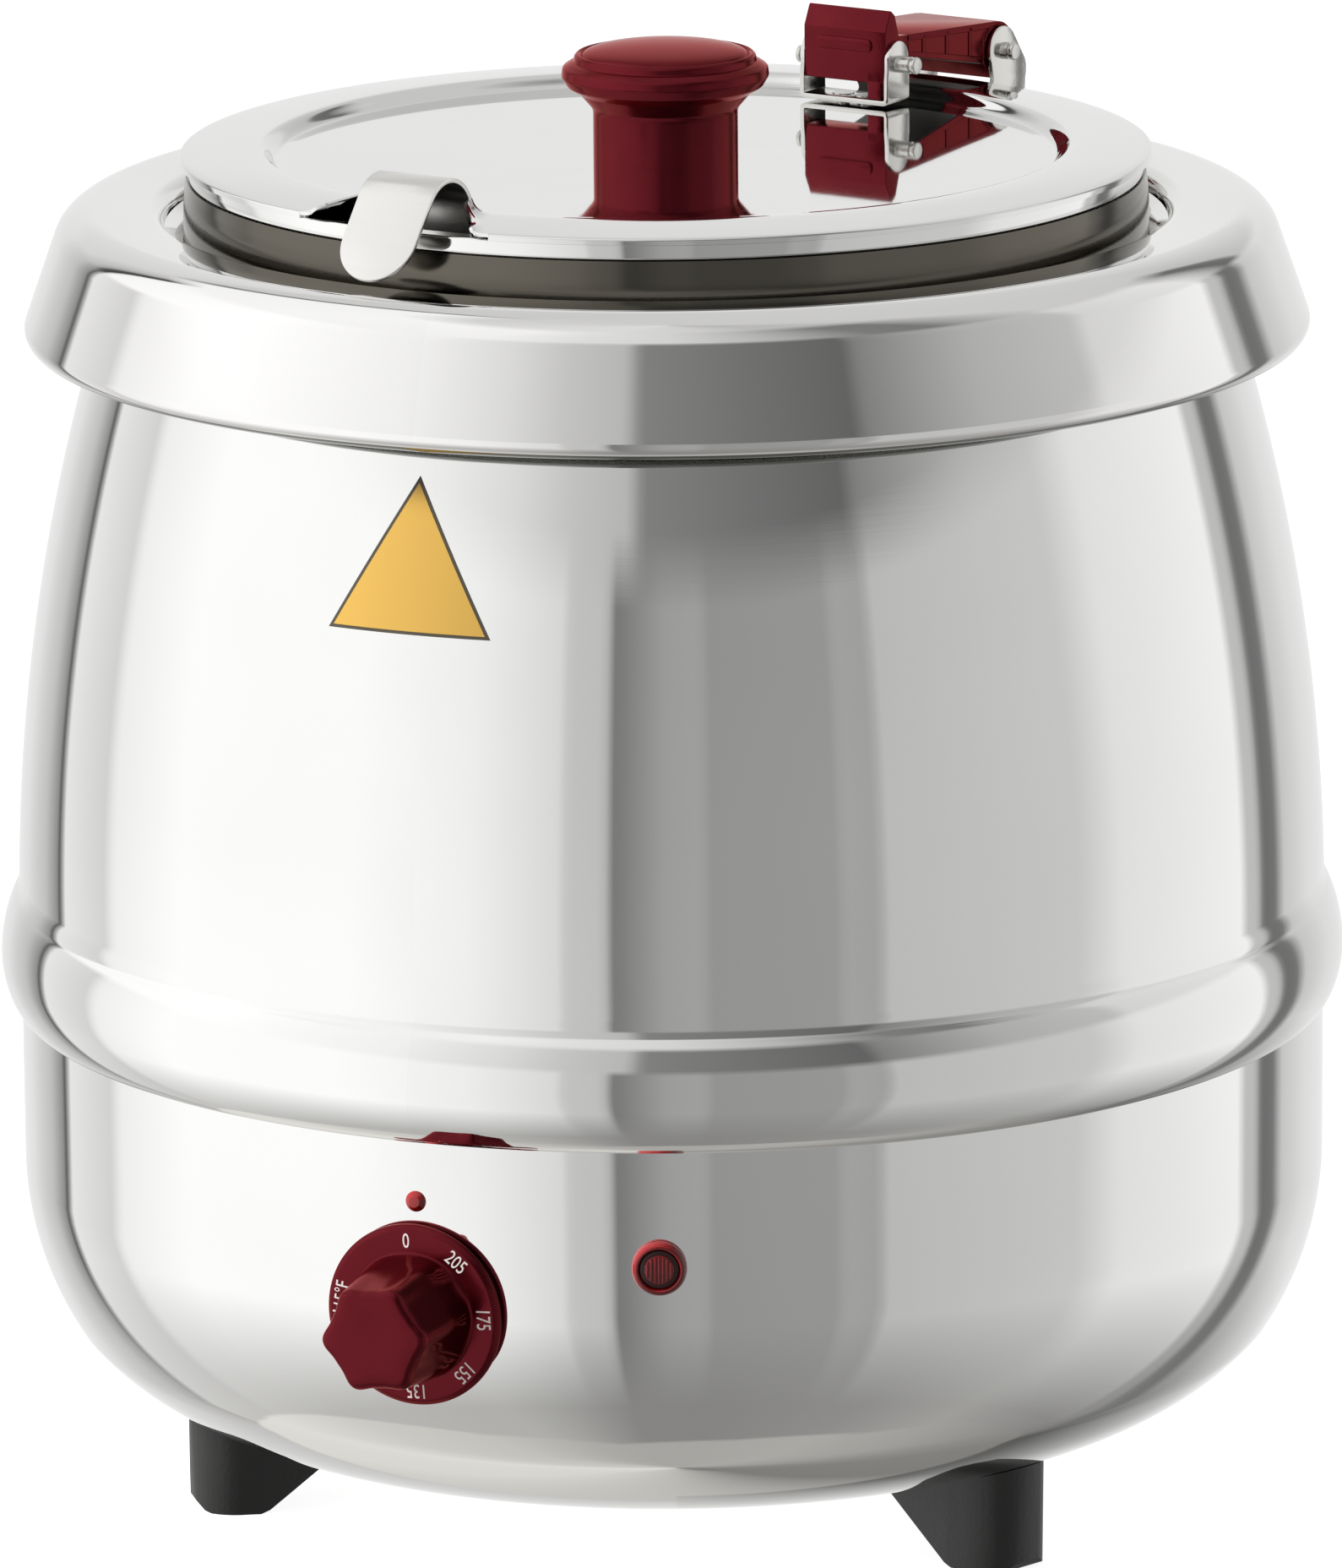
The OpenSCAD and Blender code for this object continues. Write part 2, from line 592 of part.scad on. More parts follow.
module pin(y, z, left, right) in_pot() translate([0, y, recess_z + z]) rotate([0, 90, 0])
    difference() {
        translate([0, 0, -left]) cylinder(d = pin_d, h = left + right);
        for (h = [-left + 1.1, right - 1.8]) translate([0, 0, h]) difference() {
            cylinder(d = pin_d + 2, h = 0.7);
            translate([0, 0, -1]) cylinder(d = pin_d - 0.9, h = 3);
        }
    }

module front_pin() color("silver")
    pin(front_pin_y, front_pin_z, ear_s + bracket_t + 2.6, ear_s + bracket_t + 7.6);
module rear_pin() color("silver")
    pin(rear_pin_y, rear_pin_z, ear_s + bracket_t + 2.6, ear_s + bracket_t + 5.4);

// Side outline of the link: a block with a ridge round the front pin, a tapered arm and
// a round tail on the rear pin
block_y = front_pin_y - 4.5;
block_z = front_pin_z - 3.1;
tail_r = 7.5;
arm_top = front_pin_z + 6.8;
arm_low = front_pin_z + 1;
skin = 2.2;
block_side = [[block_y, block_z], [block_y + 8.6, block_z], [block_y + 11.2, arm_low],
    [block_y + 11.2, arm_top - 0.3], [block_y + 6.2, arm_top], [block_y + 4.4, ridge_z - 1.8],
    [block_y + 2.6, ridge_z], [block_y, ridge_z - 5.6]];
arm_side = [[block_y + 6, arm_low], [block_y + 11.2, arm_low], [rear_pin_y - 4.5, rear_pin_z - 3.2],
    [rear_pin_y, rear_pin_z - tail_r + 3], [rear_pin_y, rear_pin_z + tail_r],
    [block_y + 6, arm_top]];
pocket_side = [[block_y + 14, arm_low - 9], [rear_pin_y - tail_r, rear_pin_z - 12],
    [rear_pin_y - tail_r, rear_pin_z + tail_r - skin], [block_y + 14, arm_top - skin - 0.4]];

module hinge_link() color("firebrick") in_pot() translate([0, 0, recess_z]) difference() {
    union() {
        slab(link_w) polygon(block_side);
        slab(link_w) polygon(arm_side);
        translate([0, rear_pin_y, rear_pin_z]) rotate([0, 90, 0])
            cylinder(r = tail_r, h = link_w, center = true);
        translate([link_w / 2 - 5.6, block_y, bracket_t + 0.7]) cube([4, 3.4, block_z]);
        for (s = [-1, 1]) translate([s * 6.6, block_y + 1, ridge_z - 9.2]) rotate([90, 0, 0])
            cylinder(r = 1.7, h = 1.4);
        translate([-6.6, block_y - 0.4, ridge_z - 9.2 - 1.7]) cube([13.2, 1.4, 3.4]);
    }
    slab(link_w - 2 * skin) polygon(pocket_side);
    translate([0, front_pin_y, front_pin_z]) rotate([0, 90, 0])
        cylinder(d = pin_d, h = 60, center = true);
    translate([0, rear_pin_y, rear_pin_z]) rotate([0, 90, 0])
        cylinder(d = pin_d + 2 * fit, h = 60, center = true);
}

// The rear bracket: a flange on the neck of the pot, a floor and two ears behind the rim
floor_z = collar_z + 1.5 - recess_z;
ear_back = rear_pin_y + 11;
rear_ear = concat(
    arc([rear_pin_y, rear_pin_z], 6.3, 205, 40, 10),
    arc([ear_back - 6.5, 1], 6.5, 25, -20, 4),
    [[ear_back - 1, floor_z], [rear_pin_y - 6.5, floor_z], [rear_pin_y - 5.6, floor_z + 5],
     [rear_pin_y - 4.6, 1.2]]);
tab_drop = 9;

module rear_bracket() color("silver") in_pot() translate([0, 0, recess_z]) difference() {
    union() {
        for (s = [-1, 1]) translate([s * (ear_s + bracket_t / 2), 0, 0]) slab(bracket_t) polygon(rear_ear);
        difference() {
            translate([-ear_s - bracket_t, neck_r - 6, floor_z])
                cube([2 * (ear_s + bracket_t), ear_back - 1 - neck_r + 6, bracket_t]);
            translate([0, 0, floor_z - 1]) cylinder(r = neck_r, h = bracket_t + 2);
        }
        intersection() {
            translate([0, 0, floor_z - tab_drop]) difference() {
                cylinder(r = neck_r + bracket_t, h = tab_drop + bracket_t);
                translate([0, 0, -1]) cylinder(r = neck_r, h = tab_drop + bracket_t + 2);
            }
            translate([-ear_s - bracket_t, 0, floor_z - tab_drop - 1])
                cube([2 * (ear_s + bracket_t), neck_r + 10, tab_drop + bracket_t + 1]);
        }
    }
    translate([0, rear_pin_y, rear_pin_z]) rotate([0, 90, 0]) cylinder(d = pin_d, h = 60, center = true);
    for (t = rear_rivet_turns) rotate([0, 0, t]) translate([0, neck_r - 5, floor_z - tab_drop / 2])
        rotate([-90, 0, 0]) cylinder(d = rivet_d, h = 12);
}

rear_rivet_turns = [-4, 4];

module rear_rivets() color("silver") in_pot() for (t = rear_rivet_turns) rotate([0, 0, t])
    translate([0, neck_r, recess_z + floor_z - tab_drop / 2]) rotate([-90, 0, 0]) {
        cylinder(d = rivet_d, h = bracket_t + 0.5);
        translate([0, 0, bracket_t]) cylinder(d = rivet_d + 1.8, h = 0.8);
    }

// ---- Ladle: a flat handle with a hooked end, and a round bowl ----
hook_r = 9.2;
hook_y = rim_r - 11.1;
hook_z = rim_z + hook_rise - hook_r;
hook_out = 37;                     // angle where the hook leaves its arch
tip_z = collar_z + 1.4;
leg_y = hook_y - hook_r;
leg_top = hook_z + hook_r * sin(hook_out);
leg_len = (leg_top - tip_z - handle_w / 2 * cos(hook_out)) / cos(hook_out);
leg_head = [hook_y + hook_r * cos(hook_out), leg_top];
bowl_y = leg_y - bowl_r + 0.15;    // the bowl bites a little into the handle, as welded
bowl_z = pot_z + sheet + bowl_d + seat;
bowl_t = 1.2;
hook_path = concat(
    [leg_head + (leg_len + handle_w / 2) * [sin(hook_out), -cos(hook_out)]],
    arc([hook_y, hook_z], hook_r, hook_out, 180, 12),
    [[leg_y, bowl_z + 2]]);

module ladle_handle() color("whitesmoke") in_ladle() rotate([0, 0, 180]) difference() {
    slab(handle_w) polygon(wall(hook_path, handle_t));
    translate([0, leg_head[0], leg_head[1]]) rotate([hook_out, 0, 0]) translate([0, 0, -leg_len])
        rotate([90, 0, 0]) linear_extrude(20, center = true) difference() {
            translate([-handle_w, -handle_w]) square([2 * handle_w, handle_w]);
            circle(d = handle_w + 0.04);
        }
}

bowl_side = concat([[0, -bowl_d]], [for (i = [1 : 10]) let (a = 90 * i / 10)
    [bowl_r * sin(a), -bowl_d * (i > 1 ? cos(a) : 1)]], [[bowl_r, 2]]);

module ladle_bowl() color("whitesmoke") in_ladle() translate([0, -bowl_y, bowl_z])
    revolve(wall(bowl_side, bowl_t));

lower_shell();
upper_shell();
collar();
water_well();
base_plate();
foot_right();
foot_rear();
foot_left();
foot_screws();
heating_element();
element_clamp();
clamp_nuts();
thermostat();
thermostat_nut();
sensor_bulb();
dial();
index_dot();
lamp_lens();
lamp_body();
lamp_nut();
terminal_block();
cord_gland();
gland_nut();
soup_pot();
pot_rim();
rear_bracket();
rear_rivets();
rear_pin();
hinge_link();
front_pin();
lid();
lid_bracket();
lid_rivets();
lid_knob();
knob_screw();
ladle_handle();
ladle_bowl();
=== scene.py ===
# %% [markdown]
# # A soup kettle in polished steel
# This script dresses a finished CAD model of an electric soup kettle. The solids of the kettle are loaded
# as a fixed frame, and every piece made here is built round them, in metres, in the same place. The
# metal is almost a mirror, so the studio round the kettle matters as much as the kettle itself.

# %% Load the frame
import json
from math import asin, atan2, cos, degrees, hypot, pi, radians, sin, sqrt, tan

import bmesh
import bpy
from mathutils import Matrix, Vector


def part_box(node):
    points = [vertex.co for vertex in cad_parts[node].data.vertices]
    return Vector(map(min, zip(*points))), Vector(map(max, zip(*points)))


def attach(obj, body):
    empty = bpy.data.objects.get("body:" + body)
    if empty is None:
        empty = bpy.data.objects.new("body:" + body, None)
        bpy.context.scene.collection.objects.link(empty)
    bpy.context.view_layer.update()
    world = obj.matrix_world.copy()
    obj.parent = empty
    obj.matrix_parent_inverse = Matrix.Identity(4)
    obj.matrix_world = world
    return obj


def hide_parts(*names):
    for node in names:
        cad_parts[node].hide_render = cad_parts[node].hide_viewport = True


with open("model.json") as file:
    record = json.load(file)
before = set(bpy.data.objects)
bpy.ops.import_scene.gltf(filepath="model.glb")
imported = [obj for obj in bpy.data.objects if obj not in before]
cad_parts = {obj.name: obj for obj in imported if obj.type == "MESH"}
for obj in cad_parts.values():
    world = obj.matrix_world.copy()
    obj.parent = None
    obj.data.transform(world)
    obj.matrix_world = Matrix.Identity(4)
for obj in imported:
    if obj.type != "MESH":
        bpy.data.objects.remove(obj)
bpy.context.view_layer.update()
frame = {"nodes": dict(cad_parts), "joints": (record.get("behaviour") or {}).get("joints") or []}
MM = 0.001


def add_object(name, data):
    made = bpy.data.objects.new(name, data)
    bpy.context.collection.objects.link(made)
    return made


joints = {joint["name"]: joint for joint in frame["joints"]}

# %% [markdown]
# ## The camera
# A long lens a few metres away keeps the sides of the kettle nearly parallel, as in a catalogue. The
# camera stands a little to the right of the dial, looks down by a good thirteen degrees and is tipped
# by half a degree, so the kettle leans a touch to the left in the picture.

# %% Camera
camera_turn = radians(22.3)      # how far round the kettle from the dial
camera_distance = 3.0
camera_height = 0.8972
camera_pitch = radians(13.441)   # below the horizon
camera_roll = radians(-0.47)
camera_data = bpy.data.cameras.new("camera")
camera_data.sensor_fit = "HORIZONTAL"
camera_data.sensor_width = 36
camera_data.lens = 327.0          # millimetres
camera_data.clip_end = 50
camera = add_object("camera", camera_data)
bpy.context.scene.camera = camera
to_camera = Vector((sin(camera_turn), -cos(camera_turn), 0))
to_right = Vector((cos(camera_turn), sin(camera_turn), 0))
camera.matrix_world = (Matrix.Translation(to_camera * camera_distance + Vector((0, 0, camera_height)))
    @ Matrix.Rotation(camera_turn, 4, "Z") @ Matrix.Rotation(pi / 2 - camera_pitch, 4, "X")
    @ Matrix.Rotation(camera_roll, 4, "Z"))
print("camera at", [round(c, 3) for c in camera.matrix_world.translation])

# %% [markdown]
# ## Shader maths as plain Python
# A material is a graph of nodes, and long sums are hard to read as a graph. The little class below
# wraps the output of a node, so that `1 - mask * 0.5` adds the Math nodes it needs. Vectors and
# colours have nodes of their own, because a Math node would turn a colour grey. `finish` starts a new
# material and hands back its shader.

# %% Sockets that do sums
class Value:
    """The output of a node. Sums on it add Math nodes."""

    def __init__(self, tree, socket):
        self.tree = tree
        self.socket = socket

    def node(self, kind, settings=None, inputs=None, output=0):
        """Adds a node: its settings first, then the values or links of its sockets."""
        made = self.tree.nodes.new(kind)
        for name, setting in (settings or {}).items():
            if name == "stops":
                set_stops(made.color_ramp, setting)
            else:
                setattr(made, name, setting)
        for name, value in (inputs or {}).items():
            if isinstance(value, Value):
                self.tree.links.new(value.socket, made.inputs[name])
            else:
                made.inputs[name].default_value = value
        return Value(self.tree, made.outputs[output])

    def sum(self, operation, *operands):
        return self.node("ShaderNodeMath", {"operation": operation}, dict(enumerate(operands)))

    def __add__(self, other): return self.sum("ADD", self, other)
    def __radd__(self, other): return self.sum("ADD", other, self)
    def __sub__(self, other): return self.sum("SUBTRACT", self, other)
    def __rsub__(self, other): return self.sum("SUBTRACT", other, self)
    def __mul__(self, other): return self.sum("MULTIPLY", self, other)
    def __rmul__(self, other): return self.sum("MULTIPLY", other, self)
    def __truediv__(self, other): return self.sum("DIVIDE", self, other)

    def between(self, low, high):
        """0 below low, 1 above high, and a straight ramp in between."""
        return self.node("ShaderNodeMapRange", {"clamp": True},
            {"Value": self, "From Min": low, "From Max": high})

    def ramp(self, stops):
        return self.node("ShaderNodeValToRGB", {"stops": stops}, {"Fac": self})

    def mix(self, first, second):
        """A colour that goes from first, where this value is 0, to second, where it is 1."""
        made = self.node("ShaderNodeMix", {"data_type": "RGBA"}, output=2)
        node = made.socket.node
        for socket, value in ((node.inputs[0], self), (node.inputs[6], first), (node.inputs[7], second)):
            if isinstance(value, Value):
                self.tree.links.new(value.socket, socket)
            else:
                socket.default_value = (*value, 1)
        return made

    def dot(self, direction):
        return self.node("ShaderNodeVectorMath", {"operation": "DOT_PRODUCT"},
            {0: self, 1: tuple(direction)}, output="Value")

    def part(self, axis):
        """The X, Y or Z of a vector."""
        return self.node("ShaderNodeSeparateXYZ", None, {0: self}, output=axis)

    def stretched(self, scale):
        return self.node("ShaderNodeMapping", None, {"Vector": self, "Scale": scale})

    def noise(self, scale, detail, roughness):
        return self.node("ShaderNodeTexNoise", None,
            {"Vector": self, "Scale": scale, "Detail": detail, "Roughness": roughness})


def set_stops(color_ramp, stops):
    """Stops are (place, colour) pairs, in order."""
    while len(color_ramp.elements) > 1:
        color_ramp.elements.remove(color_ramp.elements[-1])
    for number, (place, colour) in enumerate(stops):
        element = color_ramp.elements[0] if number == 0 else color_ramp.elements.new(place)
        element.position = place
        element.color = (*colour, 1)


def grey(level):
    return (level, level, level)


def finish(name, **sockets):
    """A new material with a Principled shader, whose plain sockets are set here."""
    material = bpy.data.materials.new(name)
    material.use_nodes = True
    shader = material.node_tree.nodes["Principled BSDF"]
    for socket, value in sockets.items():
        socket = socket.replace("_", " ")
        shader.inputs[socket].default_value = (*value, 1) if isinstance(value, tuple) else value
    return material, Value(material.node_tree, None), shader


print("socket sums ready")

# %% [markdown]
# ## The studio
# Polished steel shows the room it stands in. A photographer hangs white cloths to the left and right
# of the kettle and leaves a darker gap where the camera stands, and it is these that make the broad
# white and grey stripes. They could be built as real panels, but a sky that is painted by its bearing
# from the camera does the same and has no edges to hide. Six bands of stripes are stacked: the floor,
# the low part of the room, the level room, two bands above it and the ceiling. They melt into each
# other, but the edge of the floor is crisp, and it is what draws the line where the drum's bottom begins.

# %% Stripes of the studio
# Bearing from the camera in degrees, to the right, and how bright the studio is there. FLOOR_DEPTH is
# how far a mirrored ray points down, as a sine, where the floor begins.
ROOM = [(-180, 0.9), (-158, 0.84), (-144, 0.62), (-137.6, 0.32), (-135.7, 0.0), (-134.2, 0.95),
    (-118, 0.78), (-114.5, 1.04), (-95, 1.2), (-58, 1.18), (-35, 1.04), (-19.5, 0.82),
    (-18, 0.65), (-11.6, 0.62), (-9.8, 0.22), (-1, 0.4), (5, 0.42), (7, 0.35), (28.5, 0.37), (30, 0.44),
    (36, 0.42), (37.5, 0.59), (75, 0.68), (85, 0.9), (118.5, 1.04), (120.5, 0.62), (124.5, 0.58),
    (127, 0.18), (132, 0.2), (136.5, 0.66), (150, 0.82), (180, 0.9)]
ABOVE = [(-180, 0.85), (-150, 0.78), (-142, 0.62), (-139, 0.45), (-137.5, 0.08), (-134.5, 0.06),
    (-133.5, 1.12), (-90, 1.25), (-50, 1.06), (-30, 0.84), (-19, 0.66), (-8, 0.56), (-5, 0.26), (14, 0.2),
    (34, 0.15), (37, 0.26), (60, 0.5), (82, 0.6), (86, 0.78), (118, 0.92), (128, 0.5), (134, 0.16),
    (139, 0.2), (142, 0.6), (180, 0.85)]
UPPER = [(-180, 0.72), (-153, 0.7), (-151, 0.25), (-148, 0.2), (-147, 1.08), (-90, 1.12), (-40, 1.06),
    (-20, 0.88), (0, 0.78), (22, 0.55), (36, 0.36), (45, 0.24), (60, 0.22), (68, 0.4), (90, 0.7),
    (130, 0.7), (180, 0.72)]
CEILING = [(-180, 0.72), (-100, 0.78), (-50, 0.85), (-20, 0.85), (12, 0.74), (35, 0.6), (60, 0.58),
    (85, 0.7), (180, 0.72)]
LOW = [(-180, 0.6), (-120, 0.62), (-95, 0.58), (-40, 0.52), (-28, 0.44), (-10, 0.29), (10, 0.29), (45, 0.33),
    (75, 0.42), (92, 0.36), (126, 0.26), (140, 0.12), (165, 0.16), (180, 0.5)]
FLOOR = [(-180, 0.6), (-155, 0.82), (-120, 0.88), (-90, 0.72), (-60, 0.66), (-28, 0.5), (-12, 0.47),
    (10, 0.47), (45, 0.49), (80, 0.42), (108, 0.32), (135, 0.27), (160, 0.25), (180, 0.6)]
FLOOR_DEPTH = [(-180, 0.7), (-120, 0.75), (-100, 0.79), (-60, 0.89), (-20, 0.935), (20, 0.925),
    (60, 0.895), (85, 0.845), (100, 0.84), (180, 0.8)]


def stripes(bearing, levels, tint=(1, 1, 1)):
    """A brightness for each bearing, as a colour."""
    return bearing.ramp([((turn + 180) / 360, tuple(level * c for c in tint)) for turn, level in levels])


print("stripes:", [len(band) for band in (ROOM, ABOVE, UPPER, CEILING, LOW, FLOOR)])

# %% [markdown]
# A world may look different to different rays. Rays from the camera find plain white, as a backdrop.
# Mirror rays find the stripes. Rays that light plastic and rubber find a dim room with one bright
# side, so that the plastic keeps its deep colour and has a dark side.

# %% Paint the studio
def paint_studio():
    world = bpy.data.worlds.new("studio")
    bpy.context.scene.world = world
    world.use_nodes = True
    tree = world.node_tree
    tree.nodes.clear()
    start = Value(tree, None)
    direction = start.node("ShaderNodeTexCoord", output="Generated")
    across = direction.dot(to_right)
    ahead = direction.dot(to_camera)
    bearing = start.sum("ARCTAN2", across, ahead) / (2 * pi) + 0.5
    height = direction.part("Z")
    room = stripes(bearing, ROOM)
    for start_height, full_height, band in ((0.21, 0.28, ABOVE), (0.57, 0.65, UPPER), (0.90, 0.95, CEILING)):
        room = height.between(start_height, full_height).mix(room, stripes(bearing, band))
    depth = 0 - height
    low = depth.between(0.36, 0.80).mix(room, stripes(bearing, LOW, (1.0, 0.99, 0.97)))
    below_floor = (depth - stripes(bearing, FLOOR_DEPTH)).between(0.0, 0.008)
    mirrored = below_floor.mix(low, stripes(bearing, FLOOR, (1.0, 0.98, 0.94)))
    side = bearing.ramp([(0, grey(0.12)), (0.12, grey(0.3)), (0.22, grey(0.5)), (0.38, grey(0.2)),
        (0.5, grey(0.05)), (0.7, grey(0.04)), (0.82, grey(0.12)), (1, grey(0.12))])
    glossy = start.node("ShaderNodeLightPath", output="Is Glossy Ray")
    from_camera = start.node("ShaderNodeLightPath", output="Is Camera Ray")
    backdrop = grey(1.06)
    seen = from_camera.mix(glossy.mix(side, mirrored), backdrop)
    background = start.node("ShaderNodeBackground", None, {"Color": seen, "Strength": 1.0})
    output = tree.nodes.new("ShaderNodeOutputWorld")
    tree.links.new(background.socket, output.inputs["Surface"])


paint_studio()
print("studio painted")

# %% [markdown]
# ## Floor and lamps
# The kettle stands on a plain white floor that glows a little, so only a faint shadow is left. The
# floor is kept out of the reflections, so that the sides of the kettle show clean stripes from top to
# bottom. A large soft lamp on the left lights the plastic parts and the feet.

# %% Floor and lamps
def add_floor():
    bm = bmesh.new()
    bmesh.ops.create_circle(bm, cap_ends=True, segments=96, radius=6.0)
    mesh = bpy.data.meshes.new("floor")
    bm.to_mesh(mesh)
    bm.free()
    floor = add_object("floor", mesh)
    paint, _, _ = finish("floor_paint", Base_Color=grey(0.5), Roughness=0.8, Specular_IOR_Level=0.0,
        Emission_Color=grey(1), Emission_Strength=0.92)
    mesh.materials.append(paint)
    floor.visible_glossy = False
    floor.visible_diffuse = False


def add_lamp(name, bearing, height, distance, size, power):
    """A soft square lamp that faces the middle of the kettle, and isn't seen in the steel."""
    data = bpy.data.lights.new(name, "AREA")
    data.size = size
    data.energy = power
    lamp = add_object(name, data)
    place = to_camera * cos(bearing) * distance + to_right * sin(bearing) * distance
    place += Vector((0, 0, height))
    aim = Vector((0, 0, 0.2)) - place
    lamp.matrix_world = Matrix.Translation(place) @ aim.to_track_quat("-Z", "Y").to_matrix().to_4x4()
    lamp.visible_glossy = False


add_floor()
add_lamp("key_lamp", bearing=radians(-82), height=1.1, distance=1.5, size=0.4, power=38)
add_lamp("fill_lamp", bearing=radians(-25), height=1.6, distance=1.8, size=1.2, power=1)
bpy.context.scene.view_settings.view_transform = "Standard"
print("floor and lamps ready")

# %% [markdown]
# ## Finishes
# Each finish is a Principled shader. Real polished steel isn't perfect: it keeps faint rings from the
# polishing wheel and a slow waviness from the press. Noise that is squeezed in height and stretched
# round the kettle gives the rings, and a very weak bump gives the waviness.

# %% Polished steel
def feed(value, shader, socket):
    value.tree.links.new(value.socket, shader.inputs[socket])


def bump_into(shader, height, strength, distance):
    made = height.node("ShaderNodeBump", None,
        {"Height": height, "Strength": strength, "Distance": distance})
    feed(made, shader, "Normal")


def round_the_axis(place):
    """Object coordinates turned into (turn, height, radius), for marks that run round the kettle."""
    x = place.part("X")
    y = place.part("Y")
    radius = place.sum("SQRT", x * x + y * y)
    turn = place.sum("ARCTAN2", x, y)
    return place.node("ShaderNodeCombineXYZ", None, {"X": turn, "Y": place.part("Z"), "Z": radius})


def steel(name, colour, roughness, rings=1.0, wave=1.0):
    material, start, shader = finish(name, Metallic=1.0)
    place = start.node("ShaderNodeTexCoord", output="Object")
    rolled = round_the_axis(place)
    ring_marks = rolled.stretched((3.0, 900.0, 900.0)).noise(1.0, 3.0, 0.6)
    cloud = rolled.stretched((2.0, 14.0, 14.0)).noise(1.0, 2.0, 0.5)
    tint = cloud.between(0.3, 0.7).mix(tuple(0.97 * c for c in colour), tuple(colour))
    feed(tint, shader, "Base Color")
    feed(roughness * (1 + (ring_marks - 0.5) * (0.5 * rings) + (cloud - 0.5) * 0.4), shader, "Roughness")
    slow = place.noise(9.0, 1.0, 0.4)
    bump_into(shader, ring_marks * (0.01 * rings) + slow * wave, 0.12, 0.002)
    return material


polished_steel = steel("polished_steel", (0.83, 0.83, 0.82), 0.035)
collar_steel = steel("collar_steel", (0.84, 0.835, 0.825), 0.04)
satin_steel = steel("satin_steel", (0.60, 0.60, 0.58), 0.22, rings=0.6)
print("steels ready")

# %% [markdown]
# ## Pressed and spun shapes
# Nearly every piece of the kettle was spun on a lathe, and Blender has the same tool: a spin sweeps
# an outline of (radius, height) points round the axis. Sheet metal has two faces, so `wall` gives an
# open outline its thickness before it is spun. Corners are drawn once, with a radius, and `soften`
# turns each into a short arc.

# %% Outline helpers
def in_mm(points):
    return [(first * MM, second * MM) for first, second in points]


def arc(centre, radius, start, stop, steps):
    """Points on an arc, angles in degrees, from the outward direction upwards."""
    turns = [radians(start + (stop - start) * step / steps) for step in range(steps + 1)]
    return [(centre[0] + radius * cos(turn), centre[1] + radius * sin(turn)) for turn in turns]


def soften(corners, steps=5):
    """Rounds the corners of a path. A corner is (x, y) or (x, y, radius)."""
    path = [corners[0][:2]]
    for before, corner, after in zip(corners, corners[1:], corners[2:]):
        here = Vector(corner[:2])
        one = Vector(before[:2]) - here
        two = Vector(after[:2]) - here
        if len(corner) < 3 or not corner[2]:
            path.append(tuple(here))
            continue
        half = one.angle(two) / 2
        reach = min(corner[2] / tan(half), one.length * 0.49, two.length * 0.49)
        first = here + one.normalized() * reach
        last = here + two.normalized() * reach
        for step in range(steps + 1):
            t = step / steps
            path.append(tuple(first * (1 - t) ** 2 + here * (2 * t * (1 - t)) + last * t ** 2))
    path.append(corners[-1][:2])
    return path


def wall(path, thickness):
    """A closed outline: the path, and back along a line beside it, on its left."""
    points = [Vector(p) for p in path]
    back = []
    for number, here in enumerate(points):
        before = points[max(number - 1, 0)]
        after = points[min(number + 1, len(points) - 1)]
        along = (here - before).normalized() + (after - here).normalized()
        along.normalize()
        reach = (here - before).normalized() if number else (after - here).normalized()
        square = max(0.5, along.dot(reach))
        back.append((here.x - along.y * thickness / square, here.y + along.x * thickness / square))
    return [tuple(p) for p in points] + back[::-1]


def spun(outline, steps=192, closed=True):
    """A bmesh of the outline swept round the axis of the kettle."""
    bm = bmesh.new()
    verts = [bm.verts.new((radius, 0, height)) for radius, height in outline]
    pairs = list(zip(verts, verts[1:]))
    if closed:
        pairs.append((verts[-1], verts[0]))
    edges = [bm.edges.new(pair) for pair in pairs]
    bmesh.ops.spin(bm, geom=verts + edges, cent=(0, 0, 0), axis=(0, 0, 1), angle=2 * pi,
        steps=steps, use_merge=True, use_duplicate=False)
    bmesh.ops.remove_doubles(bm, verts=bm.verts, dist=1e-6)
    bmesh.ops.recalc_face_normals(bm, faces=bm.faces)
    return bm


def piece(name, bm, material, body, stands_for=(), crease=32):
    """Turns a bmesh into a finished piece that rides on a body of the frame."""
    mesh = bpy.data.meshes.new(name)
    bm.to_mesh(mesh)
    bm.free()
    mesh.shade_smooth()
    mesh.set_sharp_from_angle(angle=radians(crease))
    made = add_object(name, mesh)
    mesh.materials.append(material)
    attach(made, body)
    if stands_for:
        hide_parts(*stands_for)
    print(f"{name}: {len(mesh.polygons)} faces")
    return made


print("outline helpers ready")

# %% [markdown]
# ## The two body shells
# The lower shell is a drum with a rounded belly and a soft crease where the press closed the bottom.
# The upper shell grows out of the rolled bead and leans in towards the collar in one long bow.

# %% Lower shell
body_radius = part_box("lower_shell")[1].x
shell_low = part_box("lower_shell")[0].z
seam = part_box("upper_shell")[0].z
lap_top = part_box("lower_shell")[1].z
sheet = 1.0 * MM
keel_radius = 62 * MM
keel_centre = (body_radius - 60 * MM, shell_low + keel_radius)
crease_angle = -40
belly_top = 88 * MM
crease_point = (keel_centre[0] + keel_radius * cos(radians(crease_angle)),
    keel_centre[1] + keel_radius * sin(radians(crease_angle)))
belly_in = body_radius - crease_point[0]
belly_up = belly_top - crease_point[1]
belly_radius = (belly_in ** 2 + belly_up ** 2) / (2 * belly_in)
belly_angle = degrees(asin(belly_up / belly_radius))

